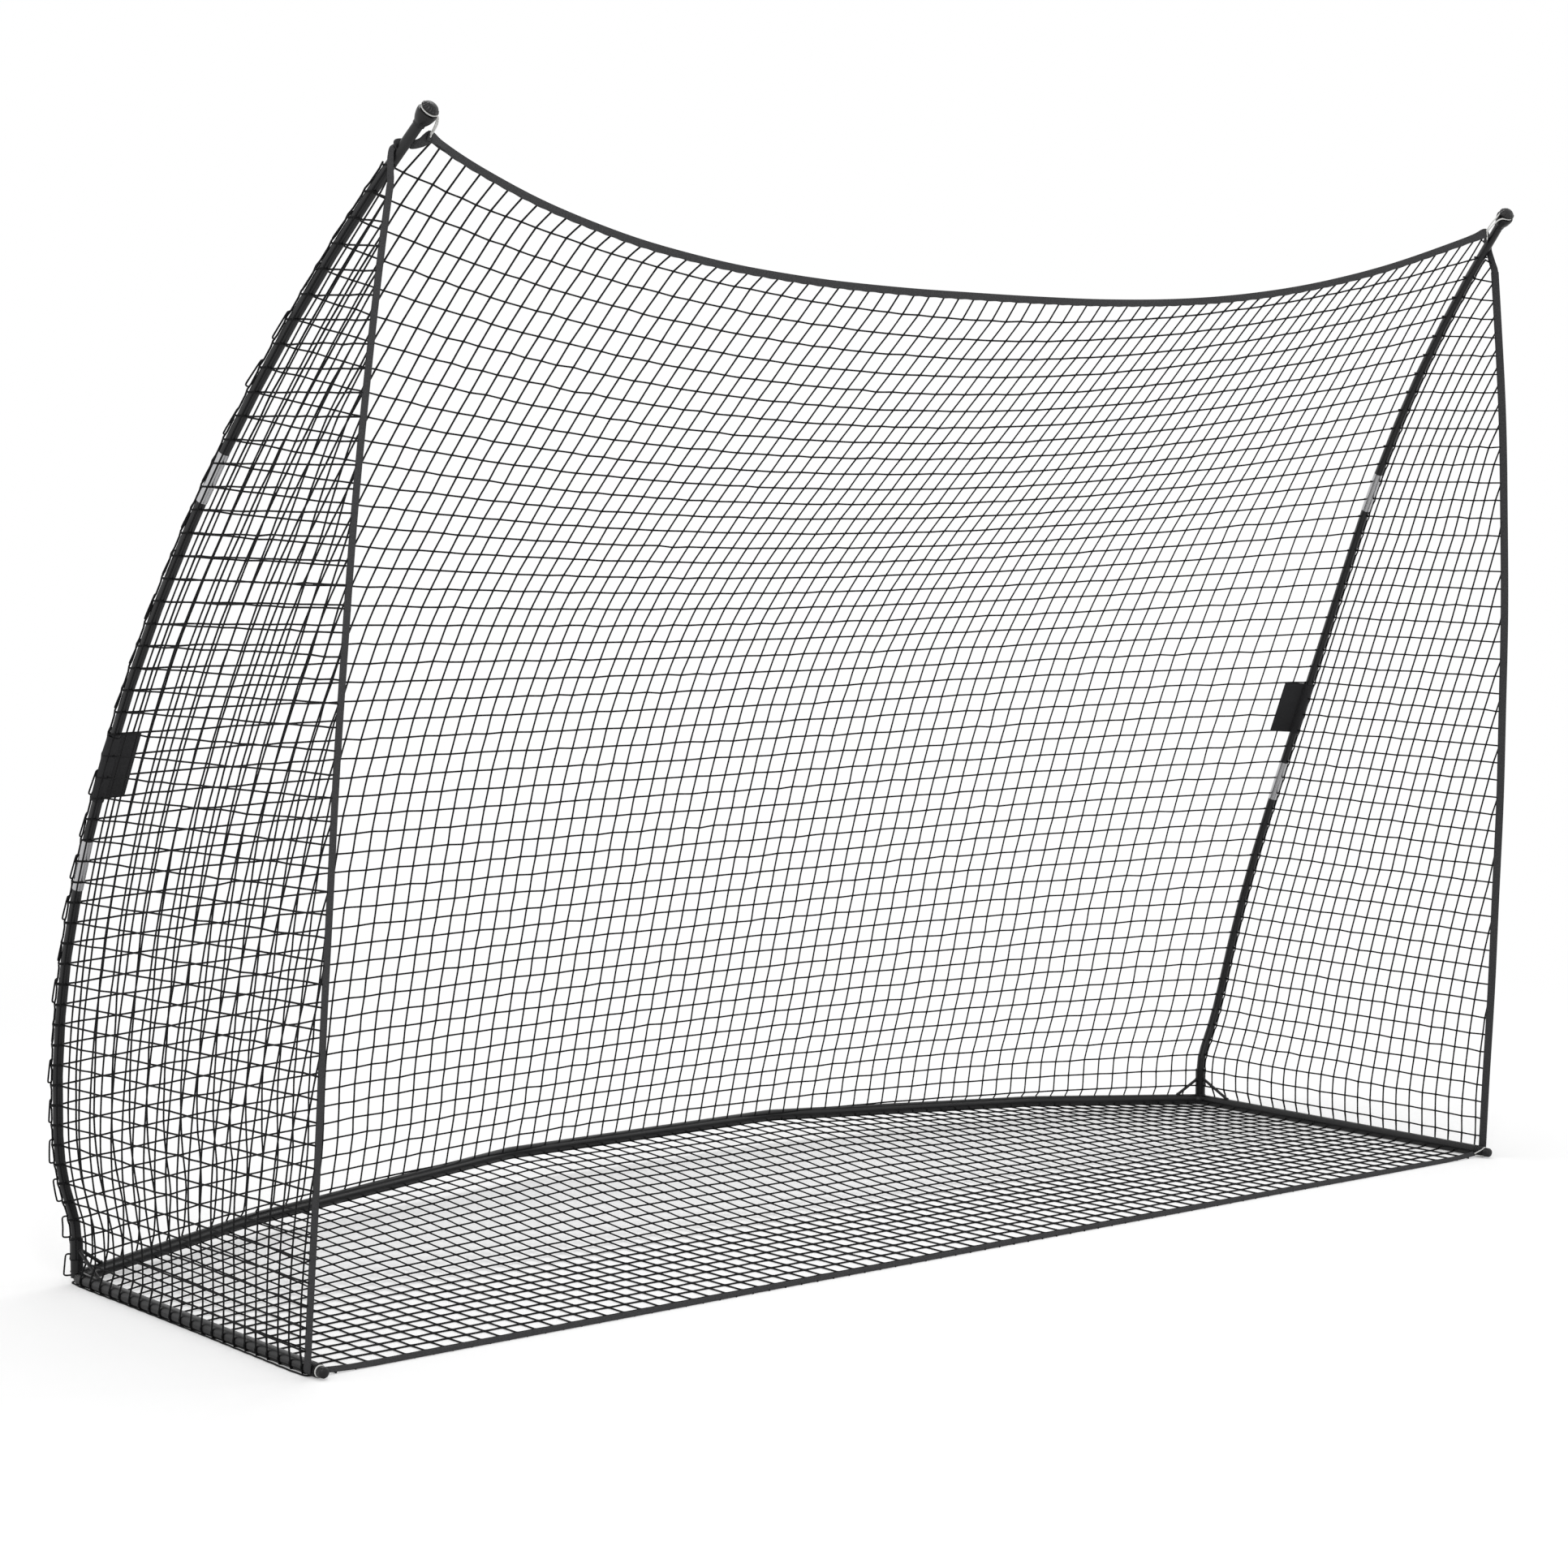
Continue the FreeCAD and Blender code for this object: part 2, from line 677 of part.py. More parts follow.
def backNetGrid(bow):
    """Crossings of the back net: its sides follow the poles and its foot follows the back tube."""
    columns, rows = BACK_GAPS
    low, high = 30.0, bow.total - 84.0
    profile = [V(x, cornerY + y, z) for x, y, z in NET_MIDDLE]
    grid = []
    for i in range(rows + 1):
        v = (i / rows) ** 1.2
        pole, centre = bow.point(low + (high - low) * v), bezier(profile, v)
        power = 2.0 + 0.8 * v
        behind = blend(tubeClear, rodClear, v)
        row = []
        for j in range(columns + 1):
            u = 2 * j / columns - 1
            reach = abs(u) ** power
            x = (pole.x - 6.0) * u
            place = V(x, blend(centre.y, pole.y, reach) + behind, blend(centre.z, pole.z, reach))
            if i == 0:
                foot = backTubeAt(x)
                place = V(x, foot.y + tubeClear + 6.0, foot.z)
            row.append(place)
        grid.append(row)
    return grid


# The side binding from the top of the pole down past the front of the side tube, measured from the corner
SIDE_TAPE = [(-112, -959, 1985), (-37, -940, 1330), (-4, -908, 675), (17, -864, 8)]


def sideTapeAt(side, share):
    """Point on the cubic curve that passes through the four points at even shares."""
    a, b, c, d = [V((number("HalfWidth") + x) * side, cornerY + y, z) for x, y, z in SIDE_TAPE]
    low = (a * -5 + b * 18 - c * 9 + d * 2) / 6
    high = (a * 2 - b * 9 + c * 18 - d * 5) / 6
    return bezier([a, low, high, d], share)


def sideNetGrid(side, bow):
    """Crossings of a side net, between the outside of the pole and the side binding."""
    columns, rows = SIDE_GAPS
    low, high = 30.0, bow.total - 150.0
    grid = []
    for i in range(rows + 1):
        v = i / rows
        pole = bow.point(low + (high - low) * v) + V(rodClear * side, 2.0, 0)
        tape = sideTapeAt(side, 0.985 - 0.955 * v) + V(0, number("TapeHeight") / 2 + 2.0, 0)
        if i == 0:
            pole = V(cornerPoint(side).x + tubeClear * side, pole.y, floorLift)
            tape = V(pole.x, tape.y, floorLift)
        grid.append([blend(pole, tape, j / columns) for j in range(columns + 1)])
    return grid


def frontLine():
    """Y of the front binding's middle, level with the grooves of the base caps."""
    return cornerPoint(1).y - number("SideReach") - BASE_GROOVE


def groundNetGrid():
    """Crossings of the flat net on the floor, from the front binding to the back tube."""
    columns, rows = GROUND_GAPS
    half = number("HalfWidth") - tubeRadius.value - 4.0
    front = frontLine() + number("FrontTapeWidth") / 2 + 1.0
    grid = []
    for i in range(rows + 1):
        row = []
        for j in range(columns + 1):
            x = half * (2 * j / columns - 1)
            back = backTubeAt(x).y - tubeRadius.value - 4.0
            row.append(V(x, blend(front, back, i / rows), number("NetThickness") / 2))
        grid.append(row)
    return grid


def strip(name, points, across, height, thickness):
    """Flat tape along points: a ruled loft of rectangles, its width along across."""
    sections = []
    last = len(points) - 1
    for n, point in enumerate(points):
        heading = (points[min(n + 1, last)] - points[max(n - 1, 0)]).normalize()
        wide = (across - heading * across.dot(heading)).normalize() * (height / 2)
        thick = heading.cross(wide).normalize() * (thickness / 2)
        corners = [point + wide + thick, point - wide + thick, point - wide - thick, point + wide - thick]
        sections.append(Part.makePolygon(corners + [corners[0]]))
    return feature(name, Part.makeLoft(sections, True, True))


def makeBindings():
    tall, thick = number("TapeHeight"), number("TapeThickness")
    rise = V(0, rodClear, tall / 2 + 3.0)
    strip("top_binding", [topTapeAt(n / 6 - 1) + rise for n in range(13)], V(0, 0, 1), tall, thick)
    for side, word in SIDES:
        strip(word + "_binding", [sideTapeAt(side, n / 8) for n in range(9)], V(0, 1, 0), tall, thick)
    reach = number("HalfWidth") - 20.0
    ends = [V(side * reach, frontLine(), thick / 2) for side in (-1, 1)]
    strip("front_binding", ends, V(0, 1, 0), number("FrontTapeWidth"), thick)


# Elastic loops

def cord(name, points, radius):
    """Round elastic drawn with six flat sides, mitred at each point of its route."""
    rings = []
    last = len(points) - 1
    runs = [(b - a).normalize() for a, b in zip(points, points[1:])]
    side = runs[0].cross(V(0.31, 0.52, 0.79)).normalize()
    for n, point in enumerate(points):
        heading = (runs[max(n - 1, 0)] + runs[min(n, last - 1)]).normalize()
        side = (side - heading * side.dot(heading)).normalize()
        other = heading.cross(side)
        rings.append([point + side * (radius * math.cos(math.pi * k / 3))
                      + other * (radius * math.sin(math.pi * k / 3)) for k in range(6)])
    triangles = []
    for near, far in zip(rings, rings[1:]):
        for k in range(6):
            m = (k + 1) % 6
            triangles += [(near[k], near[m], far[m]), (near[k], far[m], far[k])]
    for end in (rings[0], rings[-1]):
        triangles += [(end[0], end[k], end[k + 1]) for k in range(1, 5)]
    return skin(name, triangles)


def loopRoute(centre, axis, radius, anchor, spread, rim):
    """Route from the anchor over the collar's rim, round the groove and back again."""
    toward = anchor - centre
    toward = (toward - axis * toward.dot(axis)).normalize()
    across = axis.cross(toward)
    leave = math.radians(55)
    arc = []
    for n in range(13):
        angle = leave + (2 * math.pi - 2 * leave) * n / 12
        arc.append(centre + toward * (radius * math.cos(angle)) + across * (radius * math.sin(angle)))
    over = [centre + toward * rim + across * side * radius * 0.45 - axis * 1.8 for side in (1, -1) if rim]
    return [anchor + across * spread] + over[:1] + arc + over[1:] + [anchor - across * spread]


def makeLoops(side, word, bow):
    """Elastics from the corners of the bindings round the pole cap and the base cap."""
    thin = number("ElasticDiameter") / 2
    tip, out = bow.tip()
    reach = number("CapGrooveDiameter") / 2 + thin + 0.3
    corner = topTapeAt(side) + V(3.0 * side, rodClear, number("TapeHeight") / 2 + 3.0)
    rim = number("CapCollarDiameter") / 2 + thin + 0.8
    cord(word + "_top_loop", loopRoute(tip + out * POLE_GROOVE, out, reach, corner, 2.0, rim), thin)
    groove = V(cornerPoint(side).x, frontLine(), floorLift)
    reach = number("BaseGrooveDiameter") / 2 + thin + 0.3
    corner = V((number("HalfWidth") - 19.0) * side, frontLine(), 4.5)
    cord(word + "_front_loop", loopRoute(groove, V(0, -1, 0), reach, corner, 2.0, 0), thin)


SIDES = ((-1, "left"), (1, "right"))
bows = {}
for side, word in SIDES:
    corner = cornerPoint(side)
    stubEnd = along(corner, outerBend(side), number("BackStub"))
    makeCorner(side, word)
    makeBackSection(f"{word}_outer_back_tube", stubEnd, outerBend(side), seamPoint(side), True)
    makeSideTube(side, word)
    makeBaseCap(side, word)
    bows[word] = Bow(side)
    makePole(side, word, bows[word])
    makePoleCap(side, word, bows[word])
    makeTab(side, word, bows[word])
    makeLoops(side, word, bows[word])
makeBackSection("left_inner_back_tube", seamPoint(-1), innerBend(-1), middle, True)
shortOfMiddle = along(middle, innerBend(1), number("JointGap"))
makeBackSection("right_inner_back_tube", seamPoint(1), innerBend(1), shortOfMiddle, False)

netPanel("back_net", backNetGrid(bows["right"]), V(0, -1, 0))
for side, word in SIDES:
    netPanel(word + "_side_net", sideNetGrid(side, bows[word]), V(-side, 0, 0))
netPanel("ground_net", groundNetGrid(), V(0, 0, 1))
makeBindings()

doc.recompute()

for item in doc.Objects:
    if "Invalid" in item.State or "Error" in item.State:
        raise RuntimeError(f"{item.Name} did not build: {item.State}")
for name, item in nodes.items():
    if item.Shape.isNull() or not item.Shape.isValid():
        raise RuntimeError(f"{name} has no valid shape")

os.makedirs("parts", exist_ok=True)
for name, item in nodes.items():
    item.Shape.exportStep(f"parts/{name}.step")
print(len(nodes), "sub-parts written")
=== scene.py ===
import math
import bpy
import numpy as np
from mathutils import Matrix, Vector


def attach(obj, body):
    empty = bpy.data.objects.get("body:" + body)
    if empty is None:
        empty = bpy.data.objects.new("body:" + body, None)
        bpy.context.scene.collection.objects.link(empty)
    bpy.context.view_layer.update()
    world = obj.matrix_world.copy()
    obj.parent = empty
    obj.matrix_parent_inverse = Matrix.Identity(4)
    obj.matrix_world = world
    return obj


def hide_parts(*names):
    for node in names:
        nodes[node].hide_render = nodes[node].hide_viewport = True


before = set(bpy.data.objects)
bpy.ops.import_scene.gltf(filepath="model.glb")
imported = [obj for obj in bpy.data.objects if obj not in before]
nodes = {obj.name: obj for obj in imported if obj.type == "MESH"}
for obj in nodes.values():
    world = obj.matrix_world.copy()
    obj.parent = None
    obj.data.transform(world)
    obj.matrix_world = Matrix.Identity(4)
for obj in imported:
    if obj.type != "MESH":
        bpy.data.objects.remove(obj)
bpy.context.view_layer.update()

rng = np.random.default_rng(11)
sides = ((-1, "left"), (1, "right"))

# Measures of the metal frame, in metres. X is across, Y to the back, Z up from the floor. The set-backs are
# from the line on which the corners stand.
frameSize = {"halfWidth": 1.528, "cornerLine": 0.3738, "poleSetBack": 0.003, "stubSetBack": 0.0045,
             "tube": 0.0125, "pole": 0.0095, "poleFoot": 0.027, "socketTop": 0.0885, "frontEnd": -0.4837,
             "frontLine": -0.4951}
backBends = {"reach": (0.365, 1.076, 1.528), "back": (0.6418, 0.5168, 0.3783),
             "height": (0.0685, 0.0385, 0.0125)}
halfWidth, cornerLine = frameSize["halfWidth"], frameSize["cornerLine"]
tubeRadius, rodRadius = frameSize["tube"], frameSize["pole"]


# Shapes worked out with numpy

def unit(v):
    # each vector divided by its length
    return v / np.maximum(np.linalg.norm(v, axis=-1, keepdims=True), 1e-9)


def square(v, heading):
    # what is left of v across the heading, made one long
    return unit(v - heading * np.sum(v * heading, axis=-1, keepdims=True))


def eased(share):
    # from 0 to 1 with level ends: 3 t^2 - 2 t^3
    return share * share * (3 - 2 * share)


def lengths(line):
    # distance run along each line up to each of its points
    step = np.linalg.norm(np.diff(line, axis=-2), axis=-1)
    return np.concatenate([np.zeros(step.shape[:-1] + (1,)), np.cumsum(step, axis=-1)], axis=-1)


def resample(line, count):
    # the same line with points at even distances
    run = lengths(line)
    want = np.linspace(0, run[-1], count)
    return np.stack([np.interp(want, run, line[:, k]) for k in range(3)], 1)


def cubic(a, b, slopeA, slopeB, f):
    # curve from a to b with these slopes at its ends, at a share f of the way
    return (a * (1 + 2 * f) * (1 - f) ** 2 + slopeA * f * (1 - f) ** 2
            + b * f * f * (3 - 2 * f) - slopeB * f * f * (1 - f))


def smoothLine(points, count):
    # curve through the points, cubic in each gap, slopes from the points either side, then evened out
    p = np.asarray(points, float)
    slope = np.gradient(p, axis=0)
    t = np.linspace(0, len(p) - 1, count * 3)
    i = np.minimum(t.astype(int), len(p) - 2)
    return resample(cubic(p[i], p[i + 1], slope[i], slope[i + 1], (t - i)[:, None]), count)


def bezier(points, share):
    # cubic curve by four control points
    a, b, c, d = (np.asarray(p, float) for p in points)
    t = np.asarray(share, float)[..., None]
    return a * (1 - t) ** 3 + b * 3 * t * (1 - t) ** 2 + c * 3 * t * t * (1 - t) + d * t ** 3


def carry(line, wide, outline, shut=False, across=None):
    # an outline carried along lines: line + x * wide + y * (heading x wide), rings joined, ends closed
    line = np.atleast_3d(np.asarray(line, float))
    line = line if line.shape[-1] == 3 else line.transpose(2, 0, 1)
    many, steps = line.shape[:2]
    around = (np.roll(line, -1, 1) - np.roll(line, 1, 1)) if shut else np.gradient(line, axis=1)
    heading = unit(around)
    wide = square(np.broadcast_to(wide, line.shape), heading)
    thick = np.cross(heading, wide)
    outline = np.broadcast_to(outline, (many, steps) + np.shape(outline)[-2:])
    verts = line[:, :, None] + outline[..., :1] * wide[:, :, None] + outline[..., 1:] * thick[:, :, None]
    size = outline.shape[-2]
    n = np.arange(steps if shut else steps - 1)
    base = np.arange(many)[:, None, None] * steps * size
    k = np.arange(size)
    here, there = n[None, :, None] * size, ((n + 1) % steps)[None, :, None] * size
    after = (k + 1) % size
    quads = np.stack([base + here + k, base + here + after, base + there + after, base + there + k], -1)
    run = lengths(np.concatenate([line, line[:, :1]], 1) if shut else line)
    if across is None:
        across = np.arange(size + 1) / size
    u = np.stack([across[:-1], across[1:], across[1:], across[:-1]], -1)
    v = np.stack([run[:, n], run[:, n], run[:, n + 1], run[:, n + 1]], -1)
    uv = np.stack(np.broadcast_arrays(u[None, None], v[:, :, None]), -1)
    parts = [(quads.reshape(-1, 4), uv.reshape(-1, 4, 2))]
    if not shut:
        low = (base[:, 0] + k)[:, ::-1]
        high = base[:, 0] + (steps - 1) * size + k
        for cap in (low, high):
            parts.append((cap, np.zeros(cap.shape + (2,))))
    return verts.reshape(-1, 3), parts


def circle(count, radius):
    # points evenly round a circle; radius may be an array, one for each ring
    turn = np.arange(count) * 2 * np.pi / count
    ring = np.stack([np.cos(turn), np.sin(turn)], -1)
    return ring * np.asarray(radius, float)[..., None, None]


def band(width, thickness, count=5):
    # outline of a flat band with rounded edges, and how far round it each point is
    turn = np.linspace(-np.pi / 2, np.pi / 2, count)
    r = thickness / 2
    right = np.stack([np.cos(turn) * r * 0.8 + width / 2 - r * 0.8, np.sin(turn) * r], -1)
    shape = np.concatenate([right, -right])
    return shape, lengths(np.concatenate([shape, shape[:1]]))


def spun(centre, axis, facing, profile, around, lobes=None):
    # a profile of (distance along the axis, radius) turned round it; lobes are cut into one stretch of it
    profile = np.asarray(profile, float)
    axis = unit(np.asarray(axis, float))
    a = square(np.asarray(facing, float), axis)
    b = np.cross(axis, a)
    turn = np.arange(around) * 2 * np.pi / around
    d, r = profile[:, :1], profile[:, 1:]
    if lobes:
        start = np.clip((d - lobes["from"]) / 0.0012, 0, 1)
        end = np.clip((lobes["to"] - d) / 0.002, 0, 1)
        valley = np.abs(np.sin(turn * lobes["count"] / 2)) ** 0.6
        r = r - lobes["depth"] * (start * end) * (1 - valley)
    verts = (np.asarray(centre, float) + axis * d[..., None] + r[..., None] * np.cos(turn)[None, :, None] * a
             + r[..., None] * np.sin(turn)[None, :, None] * b)
    n, k = np.arange(len(profile) - 1)[:, None], np.arange(around)
    after, here, there = (k + 1) % around, n * around, (n + 1) * around
    quads = np.stack([here + k, here + after, there + after, there + k], -1)
    u, v = k / around, lengths(np.c_[profile, np.zeros(len(profile))])
    u0, v0 = np.broadcast_arrays(u[None], v[:-1, None])
    u1, v1 = np.broadcast_arrays(u[None] + 1 / around, v[1:, None])
    uv = np.stack([np.stack(pair, -1) for pair in ((u0, v0), (u1, v0), (u1, v1), (u0, v1))], -2)
    return verts.reshape(-1, 3), [(quads.reshape(-1, 4), uv.reshape(-1, 4, 2))]


def added(name, data):
    # a new object in the scene
    item = bpy.data.objects.new(name, data)
    bpy.context.scene.collection.objects.link(item)
    return item


def makePiece(name, chunks, material, body, stands=(), sharp=None):
    # chunks of points and faces joined into one mesh with its own UV map
    verts, faces, uvs, start = [], [], [], 0
    for points, parts in chunks:
        verts.append(points)
        for face, uv in parts:
            faces.append(face + start)
            uvs.append(uv.reshape(-1, 2))
        start += len(points)
    mesh = bpy.data.meshes.new(name)
    verts = np.concatenate(verts)
    loops = np.concatenate([f.ravel() for f in faces])
    counts = np.concatenate([np.full(len(f), f.shape[1]) for f in faces])
    mesh.vertices.add(len(verts))
    mesh.vertices.foreach_set("co", verts.ravel())
    mesh.loops.add(len(loops))
    mesh.loops.foreach_set("vertex_index", loops.astype(np.int32))
    mesh.polygons.add(len(counts))
    mesh.polygons.foreach_set("loop_start", (np.cumsum(counts) - counts).astype(np.int32))
    mesh.polygons.foreach_set("use_smooth", np.ones(len(counts), bool))
    mesh.update(calc_edges=True)
    layer = mesh.uv_layers.new(name="UVMap")
    layer.data.foreach_set("uv", np.concatenate(uvs).ravel())
    mesh.validate()
    if sharp:
        mesh.set_sharp_from_angle(angle=math.radians(sharp))
    mesh.materials.append(material)
    piece = added(name, mesh)
    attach(piece, body)
    if stands:
        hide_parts(*stands)
    return piece


# Materials

def addNode(tree, kind, **values):
    # a node with its settings and the values of its inputs
    node = tree.nodes.new(kind)
    for key, value in values.items():
        if hasattr(node, key):
            setattr(node, key, value)
        else:
            node.inputs[key.replace("_", " ")].default_value = value
    return node


def maths(tree, operation, a, b=None, clamp=False):
    # one Math node; a and b are numbers or sockets
    node = tree.nodes.new("ShaderNodeMath")
    node.operation, node.use_clamp = operation, clamp
    for n, value in enumerate((a, b)):
        if isinstance(value, (int, float)):
            node.inputs[n].default_value = value
        elif value is not None:
            tree.links.new(value, node.inputs[n])
    return node.outputs[0]


def noiseAt(tree, vector, **values):
    # value of a noise texture at a vector
    noise = addNode(tree, "ShaderNodeTexNoise", **values)
    tree.links.new(vector, noise.inputs["Vector"])
    return noise.outputs[0]


def stretched(tree, vector, **values):
    # the vector scaled and turned
    mapping = addNode(tree, "ShaderNodeMapping", **values)
    tree.links.new(vector, mapping.inputs[0])
    return mapping.outputs[0]


def newGroup(name, inputs, outputs):
    # a node group that takes a map and numbers and gives numbers
    group = bpy.data.node_groups.new(name, "ShaderNodeTree")
    group.interface.new_socket(name="Map", in_out="INPUT", socket_type="NodeSocketVector")
    for label, value in inputs.items():
        socket = group.interface.new_socket(name=label, in_out="INPUT", socket_type="NodeSocketFloat")
        socket.default_value = value
    for label in outputs:
        group.interface.new_socket(name=label, in_out="OUTPUT", socket_type="NodeSocketFloat")
    return group, group.nodes.new("NodeGroupInput").outputs, group.nodes.new("NodeGroupOutput").inputs


def twistGroup():
    # strands wound round a cord: one wave runs round it and along it, and noise breaks it up
    group, given, out = newGroup("wound strands", {"Strands": 2.0, "Pitch": 0.004}, ("Height", "Fuzz"))
    part = group.nodes.new("ShaderNodeSeparateXYZ")
    group.links.new(given["Map"], part.inputs[0])
    turns = maths(group, "ADD", maths(group, "MULTIPLY", part.outputs[0], given["Strands"]),
                  maths(group, "DIVIDE", part.outputs[1], given["Pitch"]))
    wave = maths(group, "SINE", maths(group, "MULTIPLY", turns, 2 * math.pi))
    share = maths(group, "ADD", maths(group, "MULTIPLY", wave, 0.5), 0.5)
    group.links.new(maths(group, "POWER", share, 0.6), out["Height"])
    fuzz = noiseAt(group, stretched(group, given["Map"], Scale=(6, 900, 1)), Scale=1.0, Detail=3.0)
    group.links.new(fuzz, out["Fuzz"])
    return group


def clothGroup():
    # plain weave: threads across and along stand out in turn, and noise varies each thread
    group, given, out = newGroup("plain weave", {"Threads": 1400.0}, ("Height", "Tone"))
    part = group.nodes.new("ShaderNodeSeparateXYZ")
    group.links.new(given["Map"], part.inputs[0])
    waves, halfWaves = [], []
    for axis in (0, 1):
        threads = maths(group, "MULTIPLY", part.outputs[axis], given["Threads"])
        wave = maths(group, "SINE", maths(group, "MULTIPLY", threads, math.pi))
        waves.append(maths(group, "ABSOLUTE", wave))
        halfWaves.append(maths(group, "SINE", maths(group, "MULTIPLY", threads, math.pi / 2)))
    share = maths(group, "GREATER_THAN", maths(group, "MULTIPLY", *halfWaves), 0.0)
    rest = maths(group, "SUBTRACT", 1.0, share)
    height = maths(group, "ADD", maths(group, "MULTIPLY", waves[0], share),
                   maths(group, "MULTIPLY", waves[1], rest))
    group.links.new(height, out["Height"])
    group.links.new(noiseAt(group, given["Map"], Scale=260.0, Detail=4.0, Roughness=0.65), out["Tone"])
    return group


def grainGroup():
    # fine grain of a moulded or coated surface, slow patches of handling over it, and hair scratches
    group, given, out = newGroup("fine grain", {"Grain": 900.0, "Patches": 9.0},
                                 ("Height", "Wear", "Scratch"))
    for scale, label, values in (("Grain", "Height", {"Detail": 2.0}),
                                 ("Patches", "Wear", {"Detail": 5.0, "Roughness": 0.6})):
        noise = noiseAt(group, given["Map"], **values)
        group.links.new(given[scale], noise.node.inputs["Scale"])
        group.links.new(noise, out[label])
    drawn = stretched(group, given["Map"], Scale=(60, 60, 900), Rotation=(0.3, 0.5, 0.2))
    thin = maths(group, "SUBTRACT", noiseAt(group, drawn, Scale=1.0, Detail=1.0), 0.66)
    group.links.new(maths(group, "MULTIPLY", thin, 9.0, clamp=True), out["Scratch"])
    return group


woundStrands, plainWeave, fineGrain = twistGroup(), clothGroup(), grainGroup()


def newMaterial(name, colour, roughness, **values):
    # a material with its base values, its node tree and its shader
    material = bpy.data.materials.new(name)
    material.use_nodes = True
    tree = material.node_tree
    shader = tree.nodes["Principled BSDF"]
    shader.inputs["Base Color"].default_value = (*colour, 1)
    shader.inputs["Roughness"].default_value = roughness
    for key, value in values.items():
        shader.inputs[key.replace("_", " ")].default_value = value
    material.diffuse_color = (*colour, 1)
    return material, tree, shader


def placed(tree, group, source, **values):
    # a group with its own values, fed by one of the piece's coordinates
    node = tree.nodes.new("ShaderNodeGroup")
    node.node_tree = group
    coordinates = tree.nodes.new("ShaderNodeTexCoord")
    tree.links.new(coordinates.outputs[source], node.inputs["Map"])
    for key, value in values.items():
        node.inputs[key].default_value = value
    return node.outputs


def spread(tree, share, low, high, fromLow=0.3, fromHigh=0.7):
    # value from low to high as the share goes through its usual range
    node = addNode(tree, "ShaderNodeMapRange", From_Min=fromLow, From_Max=fromHigh, To_Min=low, To_Max=high)
    tree.links.new(share, node.inputs["Value"])
    return node.outputs[0]


def dressed(made, share, low, high, rough, height, bump):
    # base colour from low to high with the share, a roughness, and bumps from the height
    material, tree, shader = made
    mix = addNode(tree, "ShaderNodeMix", data_type="RGBA")
    tree.links.new(share, mix.inputs["Factor"])
    mix.inputs["A"].default_value = (*low, 1)
    mix.inputs["B"].default_value = (*high, 1)
    bumps = addNode(tree, "ShaderNodeBump", Strength=bump[0], Distance=bump[1])
    tree.links.new(height, bumps.inputs["Height"])
    for label, socket in (("Base Color", mix.outputs["Result"]), ("Roughness", rough),
                          ("Normal", bumps.outputs[0])):
        tree.links.new(socket, shader.inputs[label])
    return material


def grained(name, look):
    # fine grain, paler patches where it is handled and, where the look has them, hair scratches
    made = newMaterial(name, look["colour"], look["roughness"], Specular_IOR_Level=look["specular"])
    tree = made[1]
    grain = placed(tree, fineGrain, "Object", Grain=look["grain"], Patches=look["patches"])
    rough = spread(tree, grain["Wear"], *look["gloss"])
    if "scratch" in look:
        rough = maths(tree, "ADD", rough, maths(tree, "MULTIPLY", grain["Scratch"], look["scratch"]))
    worn = spread(tree, grain["Wear"], 0, 1, *look["wear"])
    return dressed(made, worn, look["colour"], look["worn"], rough, grain["Height"], look["bump"])


def drawnLong(name, look, **values):
    # a smooth surface over faint lines that run along the rod, duller where it is handled
    made = newMaterial(name, look["colour"], look["roughness"], **values)
    tree = made[1]
    along = stretched(tree, tree.nodes.new("ShaderNodeTexCoord").outputs["Object"], Scale=look["lines"])
    line = noiseAt(tree, along, Scale=1.0, Detail=look["detail"])
    grain = placed(tree, fineGrain, "Object", Grain=look["grain"], Patches=look["patches"])
    return dressed(made, spread(tree, line, 0, 1, *look["contrast"]), look["low"], look["high"],
                   spread(tree, grain["Wear"], *look["gloss"]), line, look["bump"])


def braidedElastic():
    # white braided cover over rubber: strands wound both ways, with painted shade, a darker colour, in the
    # grooves between them
    # groove is the painted shade colour of the grooves between the strands
    look = {"colour": (0.8, 0.8, 0.78), "groove": (0.42, 0.42, 0.4), "roughness": 0.75,
            "bump": (0.6, 0.0004)}
    made = newMaterial("braided elastic", look["colour"], look["roughness"])
    tree = made[1]
    one, other = (placed(tree, woundStrands, "UV", Strands=n, Pitch=0.0032) for n in (4.0, -4.0))
    # the strands' height makes the bumps and is also the colour's share, so the grooves get a painted shade
    braidHeightAndShade = maths(tree, "MAXIMUM", one["Height"], other["Height"])
    rough = spread(tree, one["Fuzz"], 0.65, 0.85)
    return dressed(made, braidHeightAndShade, look["groove"], look["colour"], rough, braidHeightAndShade, look["bump"])


def twistedCord():
    # black net cord of two wound strands: the raised strands are greyed as a painted highlight and the
    # grooves stay black as painted shade, broken up by fuzz noise
    # high is the painted highlight colour of the raised strands
    look = {"colour": (0.004, 0.004, 0.0045), "high": (0.016, 0.016, 0.017), "roughness": 0.7,
            "bump": (0.7, 0.0003)}
    made = newMaterial("twisted cord", look["colour"], look["roughness"], Specular_IOR_Level=0.15)
    tree = made[1]
    wound = placed(tree, woundStrands, "UV", Strands=2.0, Pitch=0.0055)
    # painted highlight and shade: the strands' height times the fuzz noise lightens the raised strands and
    # leaves the grooves dark
    high = maths(tree, "MULTIPLY", wound["Height"], spread(tree, wound["Fuzz"], 0.4, 1.0))
    rough = spread(tree, wound["Fuzz"], 0.6, 0.8)
    return dressed(made, high, look["colour"], look["high"], rough, wound["Height"], look["bump"])


